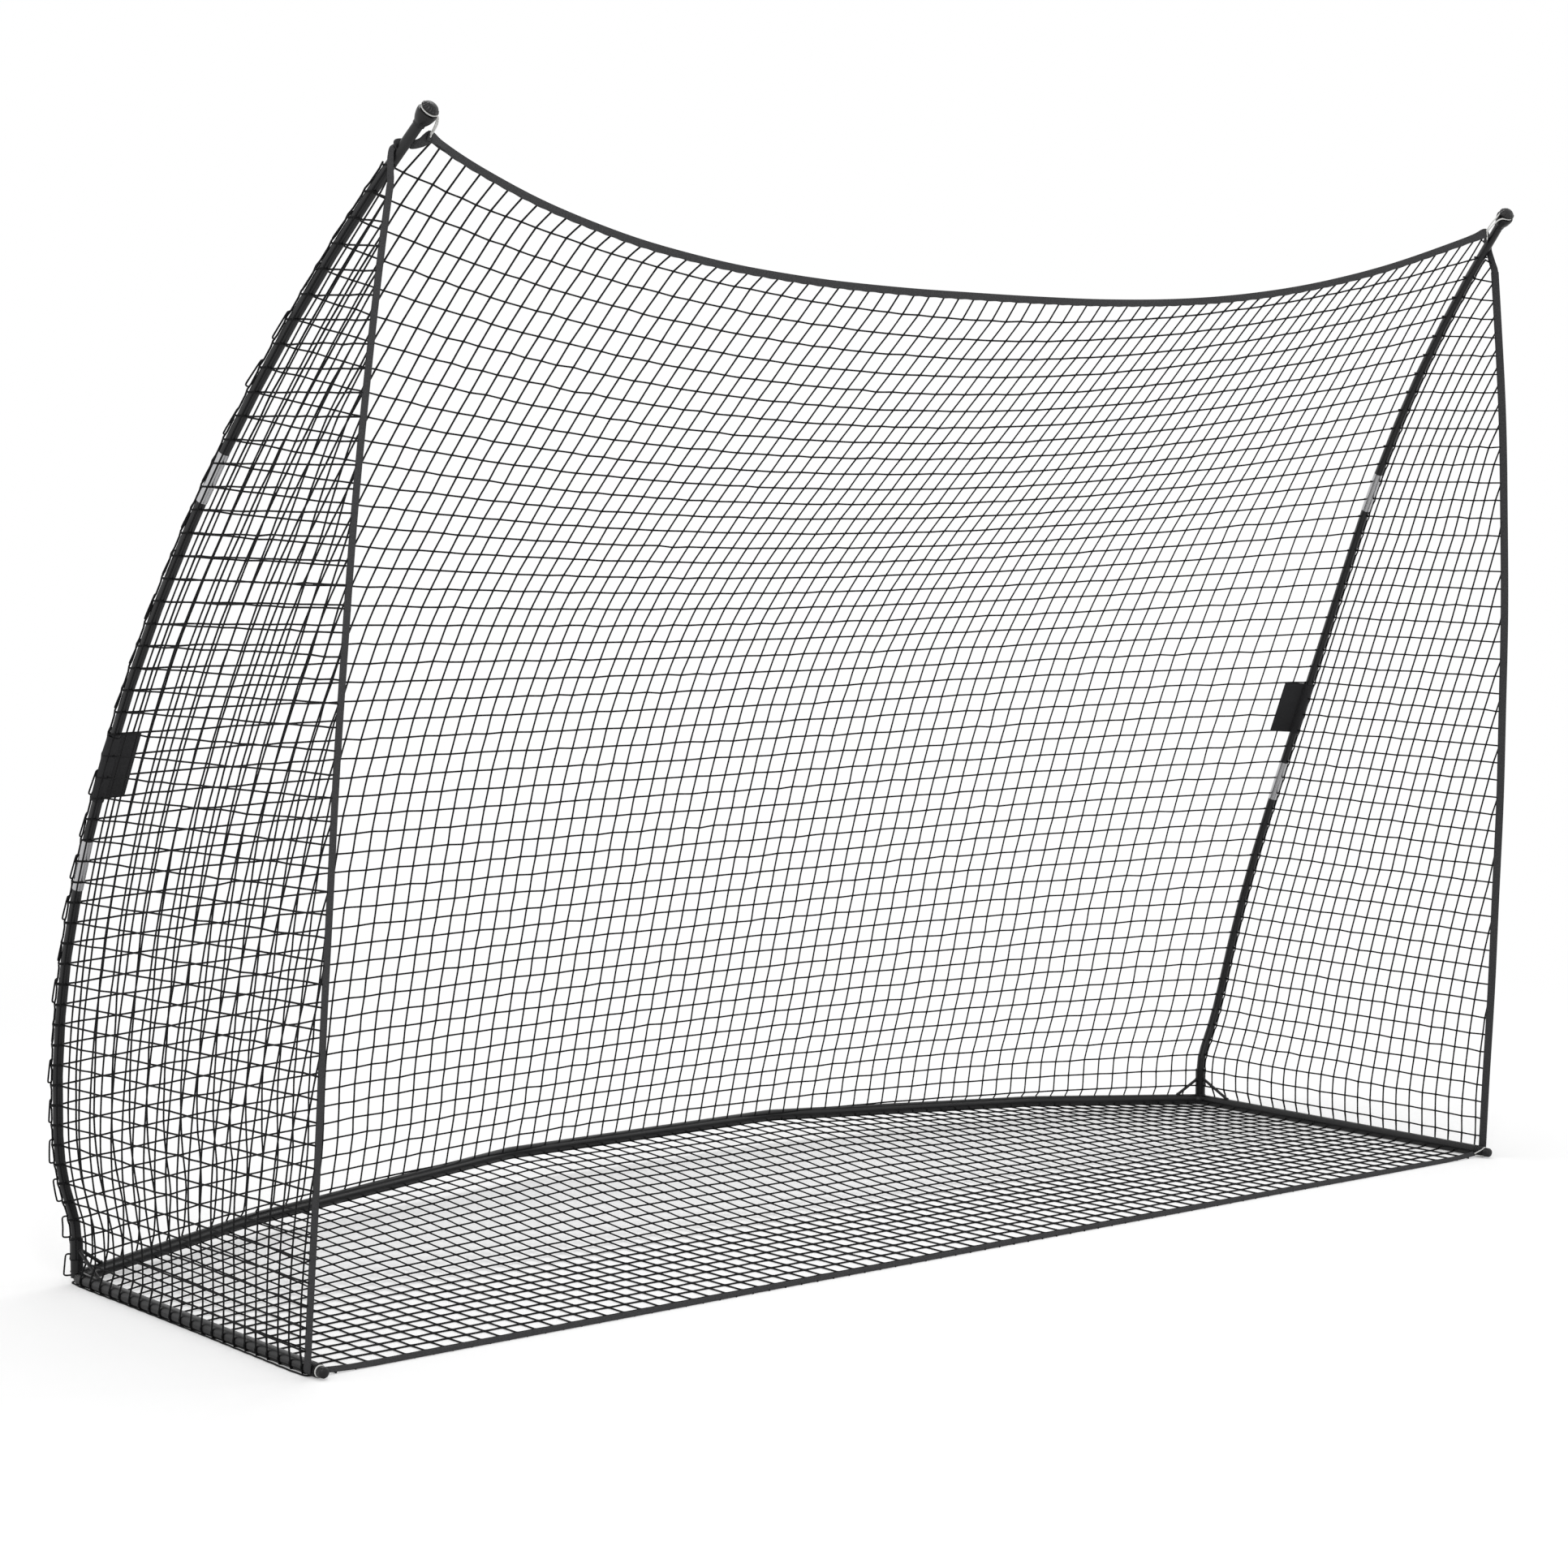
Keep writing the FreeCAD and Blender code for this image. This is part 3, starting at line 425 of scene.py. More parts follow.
def wovenTape(name, colour, high, threads):
    # black woven cloth: crossing threads, each a little different; the raised threads take the high colour as
    # a painted highlight and the gaps between them stay dark as painted shade
    made = newMaterial(name, colour, 0.8, Specular_IOR_Level=0.2)
    tree = made[1]
    weave = placed(tree, plainWeave, "UV", Threads=threads)
    # painted light and shade of the weave: the threads' height lightens the raised threads, and the tone
    # noise varies each thread as its own colour
    threadShadeAndTone = maths(tree, "MULTIPLY", weave["Height"], spread(tree, weave["Tone"], 0.35, 1.0))
    rough = spread(tree, weave["Tone"], 0.7, 0.88)
    return dressed(made, threadShadeAndTone, colour, high, rough, weave["Height"], (0.6, 0.0003))


# satin powder coat on steel tube
steel = grained("coated steel", {
    "colour": (0.006, 0.006, 0.0065), "worn": (0.014, 0.014, 0.015), "wear": (0.35, 0.75), "roughness": 0.3,
    "gloss": (0.24, 0.4), "scratch": 0.2, "specular": 0.36, "grain": 1100.0, "patches": 7.0,
    "bump": (0.12, 0.0003)})
# gel coat over fibreglass
rodBlack = drawnLong("fibreglass rod", {
    "colour": (0.005, 0.005, 0.0055), "low": (0.005, 0.005, 0.0055), "high": (0.012, 0.012, 0.013),
    "contrast": (0.0, 1.0), "lines": (1300, 1300, 16), "detail": 2.0, "roughness": 0.2, "gloss": (0.28, 0.4),
    "grain": 700.0, "patches": 6.0, "bump": (0.05, 0.0002)}, Specular_IOR_Level=0.42)
# satin drawn sleeve
aluminium = drawnLong("drawn aluminium", {
    "colour": (0.56, 0.56, 0.57), "low": (0.42, 0.42, 0.43), "high": (0.56, 0.56, 0.57),
    "contrast": (0.3, 0.7), "lines": (2400, 2400, 30), "detail": 3.0, "roughness": 0.3, "gloss": (0.26, 0.34),
    "grain": 500.0, "patches": 12.0, "bump": (0.04, 0.0001)}, Metallic=1.0)
# matt moulded plastic
plastic = grained("moulded plastic", {
    "colour": (0.006, 0.006, 0.0065), "worn": (0.018, 0.018, 0.019), "wear": (0.4, 0.8), "roughness": 0.36,
    "gloss": (0.26, 0.4), "specular": 0.34, "grain": 1600.0, "patches": 60.0, "bump": (0.25, 0.0002)})
elasticWhite, cordBlack = braidedElastic(), twistedCord()
# the second colour of each cloth is the painted highlight of its raised threads
tapeBlack = wovenTape("woven tape", (0.014, 0.014, 0.015), (0.095, 0.095, 0.098), 1500.0)
clothBlack = wovenTape("tab cloth", (0.010, 0.010, 0.011), (0.044, 0.044, 0.046), 1900.0)
threadBlack = newMaterial("sewing thread", (0.03, 0.03, 0.032), 0.5)[0]
for name, node in nodes.items():
    for word, material in (("_tube", steel), ("_corner", steel), ("_rod", rodBlack), ("_sleeve", aluminium)):
        if name.endswith(word):
            node.data.materials.clear()
            node.data.materials.append(material)
print("materials done")


# Lines of the frame that the fabric follows

# the right pole's bends, from the point of the floor under its foot
poleShape = {"points": [(0.010, -0.003, 0.143), (0.046, -0.025, 0.293), (0.069, -0.158, 0.751),
                        (0.005, -0.483, 1.419), (-0.151, -1.023, 2.104)], "tipRun": 0.040}


def makeBow():
    # centreline of the right pole: up out of the socket, then arcs each tangent to the one before
    foot = np.array([halfWidth, cornerLine + frameSize["poleSetBack"], 0.0])
    here, heading = foot + [0, 0, frameSize["socketTop"]], np.array([0, 0, 1.0])
    runs = [np.linspace(foot + [0, 0, frameSize["poleFoot"]], here, 30)]
    for point in poleShape["points"]:
        there = foot + point
        chord = there - here
        long = np.linalg.norm(chord)
        turn = math.acos(chord @ heading / long)
        inward = square(chord, heading)
        radius = long / (2 * math.sin(turn))
        swing = np.linspace(0, 2 * turn, 240)[:, None]
        runs.append(here + inward * radius * (1 - np.cos(swing)) + heading * radius * np.sin(swing))
        heading = inward * math.sin(2 * turn) + heading * math.cos(2 * turn)
        here = there
    line = np.concatenate([run[1:] for run in runs])
    return line, lengths(line)


bowLine, bowRun = makeBow()
bowLength = bowRun[-1]
flip = {-1: np.array([-1.0, 1, 1]), 1: np.array([1.0, 1, 1])}


def poleAt(side, distance):
    # point of a pole's centreline at a distance from its foot, and straight down from there
    d = np.asarray(distance, float)
    point = np.stack([np.interp(d, bowRun, bowLine[:, k]) for k in range(3)], -1)
    point[..., 2] += np.minimum(d, 0)
    return point * flip[side]


def poleHeading(side, distance, step=0.004):
    # way up the pole there: from a point a step below to one a step above
    d = np.asarray(distance, float)
    return unit(poleAt(side, d + step) - poleAt(side, d - step))


def backTube(x):
    # middle of the back tube at a distance across: two bends and straight runs between them
    reach = np.abs(x)
    y = np.interp(reach, backBends["reach"], backBends["back"])
    z = np.interp(reach, backBends["reach"], backBends["height"])
    return np.stack([np.asarray(x, float), y, z], -1)


topLine = {"reach": 1.348, "forward": 0.865, "bow": 0.108, "bowPower": 3, "middle": 1.869, "rise": 0.1915,
           "risePower": 2.8, "pull": 0.009, "pullFrom": 0.9, "pullOver": 0.1}
sideLine = ((-0.112, -0.959, 1.985), (-0.037, -0.940, 1.330), (-0.004, -0.908, 0.675), (0.017, -0.864, 0.008))


def topEdge(share):
    # lower edge of the top tape: forward and up by powers of the reach, its ends drawn forward to the knobs
    u = np.asarray(share, float)
    reach = np.abs(u)
    pulled = topLine["pull"] * np.clip((reach - topLine["pullFrom"]) / topLine["pullOver"], 0, 1) ** 2
    y = cornerLine - topLine["forward"] - topLine["bow"] * reach ** topLine["bowPower"] - pulled
    z = topLine["middle"] + topLine["rise"] * reach ** topLine["risePower"]
    return np.stack([topLine["reach"] * u, y, z], -1)


def sideEdge(side, share):
    # middle of a side tape, from the top down: a cubic through four points at even shares
    a, b, c, d = (np.array([halfWidth, cornerLine, 0]) + p for p in sideLine)
    low, high = (a * -5 + b * 18 - c * 9 + d * 2) / 6, (a * 2 - b * 9 + c * 18 - d * 5) / 6
    return bezier((a, low, high, d), share) * flip[side]


# Netting

# growth is a, b and c of the rows' share a t + b t^2 + c t^7, rest is how high a cord's middle lies
netSize = {"cells": 78, "rows": 50, "radius": 0.00175, "knot": 1.25, "looseness": 0.0006, "low": 0.018,
           "topGap": 0.125, "growth": (0.8583, 0.1105, 0.0312), "rest": 0.0018, "poleGap": 0.0112}
cellParts = np.array([0.0, 0.09, 0.5, 0.91])
partSizes = np.array([netSize["knot"], 1.04, 0.97, 1.04])
cordRadius, loose, halfCells = netSize["radius"], netSize["looseness"], netSize["cells"] // 2
rowCount = netSize["rows"] + 1
rowStep = np.arange(rowCount) / netSize["rows"]
onTube = tubeRadius + netSize["rest"]


def rowShare(t):
    # cells grow towards the top: nearly even below, stretched above
    a, b, c = netSize["growth"]
    return a * t + b * t ** 2 + c * t ** 7


def upPole(share):
    # distance up the pole, from the lowest row to the highest
    return netSize["low"] + (bowLength - netSize["topGap"] - netSize["low"]) * share


def threaded(grid, tension=0.45):
    # cords through the crossings of the first axis: cubic in each cell, slopes held back by the tension
    slope = np.gradient(grid, axis=0) * (1 - tension)
    line = cubic(grid[:-1, None], grid[1:, None], slope[:-1, None], slope[1:, None],
                 cellParts[None, :, None, None])
    line = np.concatenate([line.reshape((-1,) + grid.shape[1:]), grid[-1:]])
    return line, np.append(np.tile(partSizes, len(grid) - 1), 1.0) * cordRadius


def cords(lines, size, facing):
    # round cords along lines stacked on the second axis
    lines = lines.transpose(1, 0, 2)
    return carry(lines, facing, circle(6, np.broadcast_to(size, lines.shape[:2])))


# the middle hangs on a cubic of (y, z) points; the gather draws the uprights together or apart at its heights
backHang = {"middle": ((0.268, 0.076), (-0.102, 1.320), (-0.006, 1.130), (-0.832, 1.829)),
            "heights": (0, 0.1, 0.2, 0.5, 0.7, 0.8, 0.9, 1),
            "gather": (0, -0.02, -0.035, -0.035, 0, 0.03, 0.05, 0.068),
            "power": 2, "powerRise": 0.8, "lateFrom": 0.75, "hemShare": 0.993, "hemDrop": 0.002}


def backSurface(w, v):
    # the sides follow the poles, the middle hangs on a cubic curve, and a power of the reach blends them
    w, v = np.broadcast_arrays(np.asarray(w, float), np.asarray(v, float))
    pole = poleAt(1, upPole(v))
    centre = bezier([(0, cornerLine + y, z) for y, z in backHang["middle"]], v)
    gather = 1 + np.interp(v, backHang["heights"], backHang["gather"]) * (1 - w * w)
    late = eased(np.clip((v - backHang["lateFrom"]) / (1 - backHang["lateFrom"]), 0, 1))
    drawn, power, rise = np.abs(w) * gather, backHang["power"], backHang["powerRise"]
    y = centre[..., 1] + (pole[..., 1] - centre[..., 1]) * drawn ** (power + rise * v)
    z = centre[..., 2] + (pole[..., 2] - centre[..., 2]) * drawn ** (power + rise * v - rise * late)
    return np.stack([pole[..., 0] * w * gather, y, z], -1)


def makeBackNet():
    # crossings at even shares of each upright's length, each moved a little, and the cords through them
    w = np.arange(-halfCells, halfCells + 1) / halfCells
    v = np.linspace(0, 1, 401)
    run = lengths(backSurface(w[:, None], v[None]))
    found = np.stack([np.interp(rowShare(rowStep) * r[-1], r, v) for r in run], 1)
    grid = backSurface(w[None], found)
    across, up = unit(np.gradient(grid, axis=1)), unit(np.gradient(grid, axis=0))
    shift = [rng.normal(0, loose * much, grid.shape[:2])[..., None] for much in (1, 1.2)]
    calm = np.ones(grid.shape[:2] + (1,))
    calm[0], calm[:, 0], calm[:, -1] = 0.3, 0, 0
    grid = grid + (across * shift[0] + up * shift[1]) * calm
    for edge, inner in ((0, 1), (-1, -2)):
        grid[:, edge] += unit(grid[:, inner] - grid[:, edge]) * netSize["poleGap"]
    hemShare = np.clip(grid[-1, :, 0] * backHang["hemShare"] / topLine["reach"], -1.0, 1.0)
    hem = topEdge(hemShare) - [0, 0, backHang["hemDrop"]]
    foot = backTube(grid[0, :, 0])
    behind = foot + [0, onTube, 0.002]
    under = foot + [0, onTube * 0.5, -onTube * 0.87]
    under[:, 2] = np.maximum(under[:, 2], netSize["rest"])
    lines, size = threaded(np.concatenate([under[None], behind[None], grid, hem[None]]))
    size[:8] = cordRadius
    rows, rowSize = threaded(grid.transpose(1, 0, 2), 0.2)
    middle = rowCount // 2 + 1
    for name, kept, thick, facing in (("uprights_left", lines[:, 1:halfCells + 1], size, (0.05, -1.0, 0.1)),
                                      ("uprights_right", lines[:, halfCells + 1:-1], size, (0.05, -1.0, 0.1)),
                                      ("rows_low", rows[:, :middle], rowSize, (0, 0.3, 1.0)),
                                      ("rows_high", rows[:, middle:], rowSize, (0, 0.3, 1.0))):
        makePiece("back_net_" + name, [cords(kept, thick, facing)], cordBlack, "frame", ["back_net"])


def wraps(centres, heading, tilt, facing, radius, turns):
    # arcs round rods: part of a circle across the rod's heading, slid along the rod into the tilted plane
    heading, tilt = unit(heading), unit(tilt)
    a = square(np.broadcast_to(facing, heading.shape), heading)
    b = np.cross(heading, a)
    turn = np.radians(np.linspace(*turns, 14))[None, :, None]
    spoke = radius * (np.cos(turn) * a[:, None] + np.sin(turn) * b[:, None])
    slide = -np.sum(spoke * tilt[:, None], -1, keepdims=True) / np.sum(heading * tilt, -1)[:, None, None]
    return carry(centres[:, None] + spoke + slide * heading[:, None], tilt[:, None], circle(5, cordRadius))


# the uprights' pitch and drift go by height; a row ends at a share a + b t + c t^2 of the tape
sideHang = {"pitchAt": (0, 0.6, 0.7, 0.8, 1), "pitch": (0.0384, 0.0384, 0.035, 0.030, 0.030),
            "driftAt": (0, 0.15, 0.3, 0.45, 0.6, 0.7, 0.8, 0.9, 1),
            "drift": (0.002, 0.002, 0.009, -0.010, -0.020, -0.003, 0.008, 0.005, 0.005),
            "tapeShare": (0.982, -0.9675, -0.024), "behindTape": 0.006, "edge": 0.006, "start": 0.0108,
            "knotHalf": 0.0035, "most": 30, "uprights": 23, "wrap": (-75, -38, 0, 28)}


def sideGap(v, j):
    # distance of a side net's upright from the pole, along the row: pitch * j + drift, eased in over three
    pitch = np.interp(v, sideHang["pitchAt"], sideHang["pitch"])
    return pitch * j + np.interp(v, sideHang["driftAt"], sideHang["drift"]) * np.minimum(1, j / 3)


def sideRow(pole, along, width, gaps, sway):
    # one row from the pole to the tape, thicker at its knots and raised there by its sway
    half = sideHang["knotHalf"]
    near = np.stack([gaps - half, gaps, gaps + half], 1).ravel()
    middles = (gaps[1:] + gaps[:-1]) / 2
    place = np.concatenate([[sideHang["start"]], near, middles, [width]])
    bulk = np.concatenate([[1.0], np.tile([1.04, netSize["knot"], 1.04], len(gaps)),
                           np.full(len(middles), 0.97), [1.0]])
    order = np.argsort(place)
    line = pole + along * place[order, None]
    line[:, 2] += np.interp(place[order], np.r_[0, gaps, width], np.r_[0, sway * 1.2, 0])
    return line, bulk[order] * cordRadius


def makeSideNet(side, word):
    # rows run straight from the pole to the tape; the uprights keep beside the pole until the tape cuts them
    # off, and at the foot they wrap round the outside of the side tube
    pole = poleAt(side, upPole(rowShare(rowStep)))
    a, b, c = sideHang["tapeShare"]
    tape = sideEdge(side, a + b * rowStep + c * rowStep * rowStep) + [0, sideHang["behindTape"], 0]
    width = np.linalg.norm(tape - pole, axis=1)
    along = (tape - pole) / width[:, None]
    sway = rng.normal(0, loose, (rowCount, sideHang["most"]))
    facing, chunks = [side, 0.1, 0.1], []
    for i in range(rowCount):
        gaps = np.array([sideGap(rowStep[i], j) for j in range(1, sideHang["most"])])
        gaps = gaps[gaps < width[i] - sideHang["edge"]]
        moved = sway[i, :len(gaps)]
        line, size = sideRow(pole[i], along[i], width[i], gaps + moved * 0.5, moved)
        chunks.append(carry(line, facing, circle(6, size)))
    turn = np.radians(sideHang["wrap"])[:, None]
    half = np.concatenate([np.cos(turn) * side, turn * 0, np.sin(turn)], 1) * onTube
    for j in range(1, sideHang["uprights"] + 1):
        gap = sideGap(rowStep, j)
        kept = np.flatnonzero(gap < width - sideHang["edge"])
        if len(kept) < 1 or kept[0] > 0:
            continue
        last = kept[np.flatnonzero(np.diff(np.r_[kept, 999]) > 1)[0]]
        keep = np.arange(last + 1)
        line = pole[keep] + along[keep] * (gap[keep] + sway[keep, j - 1] * 0.5)[:, None]
        line[:, 2] += sway[keep, j - 1] * 1.2
        if last + 1 < rowCount:
            spare = width[last] - gap[last]
            lost = spare - (width[last + 1] - gap[last + 1])
            end = tape[last] + (tape[last + 1] - tape[last]) * min(1.0, spare / max(lost, 1e-6))
            line = np.concatenate([line, end[None]])
        wrap = half + [side * halfWidth, line[0, 1], tubeRadius]
        wrap[:, 2] = np.maximum(wrap[:, 2], netSize["rest"])
        cord, size = threaded(line[:, None])
        size = np.concatenate([np.full(len(wrap), cordRadius), size])
        chunks.append(carry(np.concatenate([wrap, cord[:, 0]]), facing, circle(6, size)))
    makePiece(word + "_side_net_cords", chunks, cordBlack, "frame", [word + "_side_net"])


groundHang = {"rows": 21, "first": 0.62, "cells": 20.7, "last": 0.998, "riseFrom": 0.35, "floor": 0.0016,
              "tuck": 0.0008, "endInset": 0.0085, "endLow": 0.0025}


def makeGroundNet():
    # straight columns front to back, rows shared out between the front tape and the back tube
    x = np.arange(1 - halfCells, halfCells) / halfCells * halfWidth
    steps = (np.arange(groundHang["rows"]) + groundHang["first"]) / groundHang["cells"] * groundHang["last"]
    t = np.r_[0, steps, 1.0]
    back = backTube(x)
    front = frameSize["frontLine"]
    y = front + (back[:, 1] - front)[None] * np.clip(t, 0, 1)[:, None]
    rise = eased(np.clip((t - groundHang["riseFrom"]) / (1 - groundHang["riseFrom"]), 0, 1))
    z = groundHang["floor"] + (back[:, 2] - tubeRadius)[None] * rise[:, None]
    grid = np.stack(np.broadcast_arrays(x[None], y, z), -1).copy()
    for axis, much in ((0, 1), (1, 1.2)):
        grid[1:-1, :, axis] += rng.normal(0, loose * much, grid[1:-1, :, axis].shape)
    grid[-1, :, 2] -= groundHang["tuck"]
    columns, size = threaded(grid)
    inner = grid[1:-1]
    ends = []
    for side, edge in ((-1, 0), (1, -1)):
        end = inner[:, edge].copy()
        end[:, 0] = side * (halfWidth - groundHang["endInset"])
        end[:, 2] = np.maximum(groundHang["endLow"], end[:, 2])
        ends.append(end[:, None])
    rows, rowSize = threaded(np.concatenate([ends[0], inner, ends[1]], 1).transpose(1, 0, 2), 0.2)
    for name, kept, thick in (("columns", columns, size), ("rows", rows, rowSize)):
        makePiece("ground_net_" + name, [cords(kept, thick, (0, 0, 1.0))], cordBlack, "frame",
                  ["ground_net"])


# how far the loops stand off at places up the pole; a loop's steps are shares of its length and its stand-off
lace = {"places": (0.0, 0.16, 0.30, 0.62, 0.95, 1.05, 1.65, 1.72, 1.93, 2.0),
        "standoff": (0.0225, 0.0215, 0.0150, 0.0145, 0.0155, 0.0124, 0.0124, 0.0180, 0.0180, 0.0124),
        "steps": ((0.00, 0.0), (-0.01, 0.6), (0.02, 1.0), (0.13, 1.07), (0.5, 1.03), (0.86, 0.98),
                  (0.98, 0.88), (1.02, 0.55), (1.0, 0.0)),
        "first": -0.017, "startLift": 0.005, "endLift": 0.010,
        "lean": 0.0025, "round": (-12.0, 255.0), "clear": 0.0006, "knotLift": 0.0016}


def makePoleLacing(side, word):
    # the net passes outside the pole: each row goes round it from the side net to the back net, two upright
    # cords run up it, and every second cell is a loop that stands off
    place = upPole(rowShare(rowStep))
    heading = poleHeading(side, place)
    reach = rodRadius + cordRadius * 0.9
    tilt = unit(heading * 0.35 + np.array([0, 0.12, 0.65]) + rng.normal(0, 0.03, heading.shape))
    turns = [side * angle for angle in lace["round"]]
    chunks = [wraps(poleAt(side, place), heading, tilt, (0, -1.0, 0), reach + lace["clear"], turns)]
    part = np.arange(netSize["rows"] * 4 + 1) / 4
    line = np.interp(part, np.arange(rowCount), place)
    stand = reach + lace["knotLift"] * (part % 1 == 0)
    for out, facing in (((0.55 * side, -0.83, 0), (1.0, 0, 0)), ((0.80 * side, 0.60, 0), (0, 1.0, 0))):
        away = square(np.array(out), poleHeading(side, line))
        chunks.append(carry(poleAt(side, line) + away * stand[:, None], facing, circle(6, cordRadius)))
    share, off = np.array(lace["steps"]).T
    starts = np.r_[lace["first"], place[1:-1:2]] + lace["startLift"]
    for low, high in zip(starts, place[0:-1:2] + lace["endLift"]):
        wobble = rng.normal(0, 1, 3)
        d = low + (high - low) * share
        away = np.interp(low, lace["places"], lace["standoff"]) + wobble[0] * 0.0012
        stand = reach + (away - reach) * off
        stand = stand - (share - 0.5) * lace["lean"] * (1 + wobble[1] * 0.4) * (off > 0.3)
        out = square(np.array([0.86 * side, 0.48 + wobble[2] * 0.1, 0]), poleHeading(side, d))
        loop = smoothLine(poleAt(side, d) + out * stand[:, None], 26)
        chunks.append(carry(loop, (0.6 * side, -0.8, 0), circle(6, cordRadius)))
    makePiece(word + "_pole_lacing", chunks, cordBlack, "frame")


# points are (distance out from the side tube's middle, place to the back)
floorCord = {"points": ((-0.055, 0.4085), (-0.006, 0.3925), (0.0098, 0.357), (0.0100, 0.15), (0.0108, -0.1),
                        (0.0135, -0.3), (onTube, -0.466), (0, -0.4885)), "wave": 0.0005, "pitch": 0.039}


def makeFloorCord(side, word):
    # cord on the floor round the outside of the corner and along the side tube, with a slight wave
    points = [(side * (halfWidth + out), back, netSize["rest"]) for out, back in floorCord["points"]]
    line = smoothLine(points, 150)
    line[:, 0] += np.sin(lengths(line) * 2 * np.pi / floorCord["pitch"]) * floorCord["wave"]
    cord = carry(line, (0, 0, 1.0), circle(6, cordRadius))
    makePiece(word + "_floor_cord", [cord], cordBlack, "frame")


makeBackNet()
makeGroundNet()
for side, word in sides:
    makeSideNet(side, word)
    makePoleLacing(side, word)
    makeFloorCord(side, word)
print("netting done")


# Tapes

tapeSize = {"thickness": 0.0026, "stitch": 0.0046, "thread": 0.0003, "dip": 0.0005, "seamInset": 0.0022}
halfTape, wrapReach = tapeSize["thickness"] / 2, rodRadius + tapeSize["thickness"]


def stitches(line, wide, off, proud):
    # a row of stitches beside a line: each dips at its ends and stands a little out of the cloth
    count = int(lengths(line)[-1] / tapeSize["stitch"])
    path = resample(line, count * 4 + 1)
    heading = unit(np.gradient(path, axis=0))
    wide = square(np.broadcast_to(wide, path.shape), heading)
    out = np.cross(heading, wide)
    start = np.arange(count) * 4
    chunks = []
    for face in (1, -1):
        base = path + wide * off + out * face * proud
        dipped = base - out * face * tapeSize["dip"]
        lines = np.stack([dipped[start], base[start + 1], base[start + 2], dipped[start + 3]], 1)
        chunks.append(carry(lines, wide[start][:, None], circle(4, tapeSize["thread"])))
    return chunks


def bandAlong(line, wide, height, swell=1.0, hem=0.0):
    # a flat band with rounded edges along a line; swell makes it taller, hem lets its lower edge down
    outline, across = band(height, tapeSize["thickness"])
    shape = np.broadcast_to(outline, (len(line),) + outline.shape).copy()
    shape[..., 0] *= np.broadcast_to(swell, len(line))[:, None]
    shape[:, outline[:, 0] < 0, 0] -= np.broadcast_to(hem, len(line))[:, None]
    return carry(line, wide, shape, across=across)


topTape = {"height": 0.0145, "lift": 0.0022, "reach": 1.008, "waves": 37, "wave": 0.0008, "cell": 0.0391,
           "pull": 0.0005, "endDrop": 0.0022, "endPower": 24}


def makeTopTape():
    # a band folded over the top cords of the net, its lower edge drawn down at each cord and at the ends
    u = np.linspace(-topTape["reach"], topTape["reach"], 470)
    line = topEdge(u) + [0, 0, topTape["lift"]]
    line[:, 1] += np.sin(u * topTape["waves"]) * topTape["wave"]
    pull = np.cos(u * topLine["reach"] / topTape["cell"] * np.pi * 2) * topTape["pull"]
    hem = pull + topTape["endDrop"] * np.abs(u) ** topTape["endPower"]
    seam = stitches(line, (0, 0, 1.0), tapeSize["seamInset"] - topTape["height"] / 2, halfTape)
    makePiece("top_tape", [bandAlong(line, (0, 0, 1.0), topTape["height"], hem=hem)], tapeBlack, "frame",
              ["top_binding"])
    makePiece("top_tape_stitches", seam, threadBlack, "frame")


def roundPole(below, ways):
    # points round the right pole at a distance below its tip: ways out from its middle and rises along it
    centre, heading = poleAt(1, bowLength - below), poleHeading(1, bowLength - below)
    return [centre + square(np.array(v), heading) * wrapReach + heading * rise for v, rise in ways]


cornerTie = {"from": 0.975, "steps": ((0.009, 0.002, -0.002), (0.019, 0.006, -0.009)), "below": 0.076,
             "ways": (((-1.0, -0.1, 0), 0.0), ((-0.55, 0.85, 0), -0.004), ((0.5, 0.9, 0), -0.010),
                      ((1.0, -0.1, 0), -0.014)), "swell": 0.45, "swellAt": 0.34, "swellWide": 0.13,
             "narrow": 0.25, "narrowFrom": 0.6, "narrowOver": 0.4}


def makeCornerTie(side, word):
    # the end of the top tape turns down, swells at its knee, narrows to the pole and goes behind it
    lift = [0, 0, topTape["lift"]]
    knee = topEdge(1.0) + lift
    points = [topEdge(cornerTie["from"]) + lift, knee] + [knee + step for step in cornerTie["steps"]]
    line = smoothLine(points + roundPole(cornerTie["below"], cornerTie["ways"]), 80) * flip[side]
    share = np.linspace(0, 1, 80)
    bulge = cornerTie["swell"] * np.exp(-((share - cornerTie["swellAt"]) / cornerTie["swellWide"]) ** 2)
    late = np.clip((share - cornerTie["narrowFrom"]) / cornerTie["narrowOver"], 0, 1)
    chunk = bandAlong(line, (0.5 * side, 0, 1.0), topTape["height"], 1.0 + bulge - cornerTie["narrow"] * late)
    makePiece(word + "_corner_tie", [chunk], tapeBlack, "frame")


sideTape = {"height": 0.0205, "waves": 29, "wave": 0.0006, "footIn": 0.0025, "below": 0.096,
            "ways": (((-0.3, 1.0, 0), 0.008), ((0.78, 0.63, 0), 0.002), ((1.0, -0.25, 0), -0.010)),
            "leadHeight": 0.7}


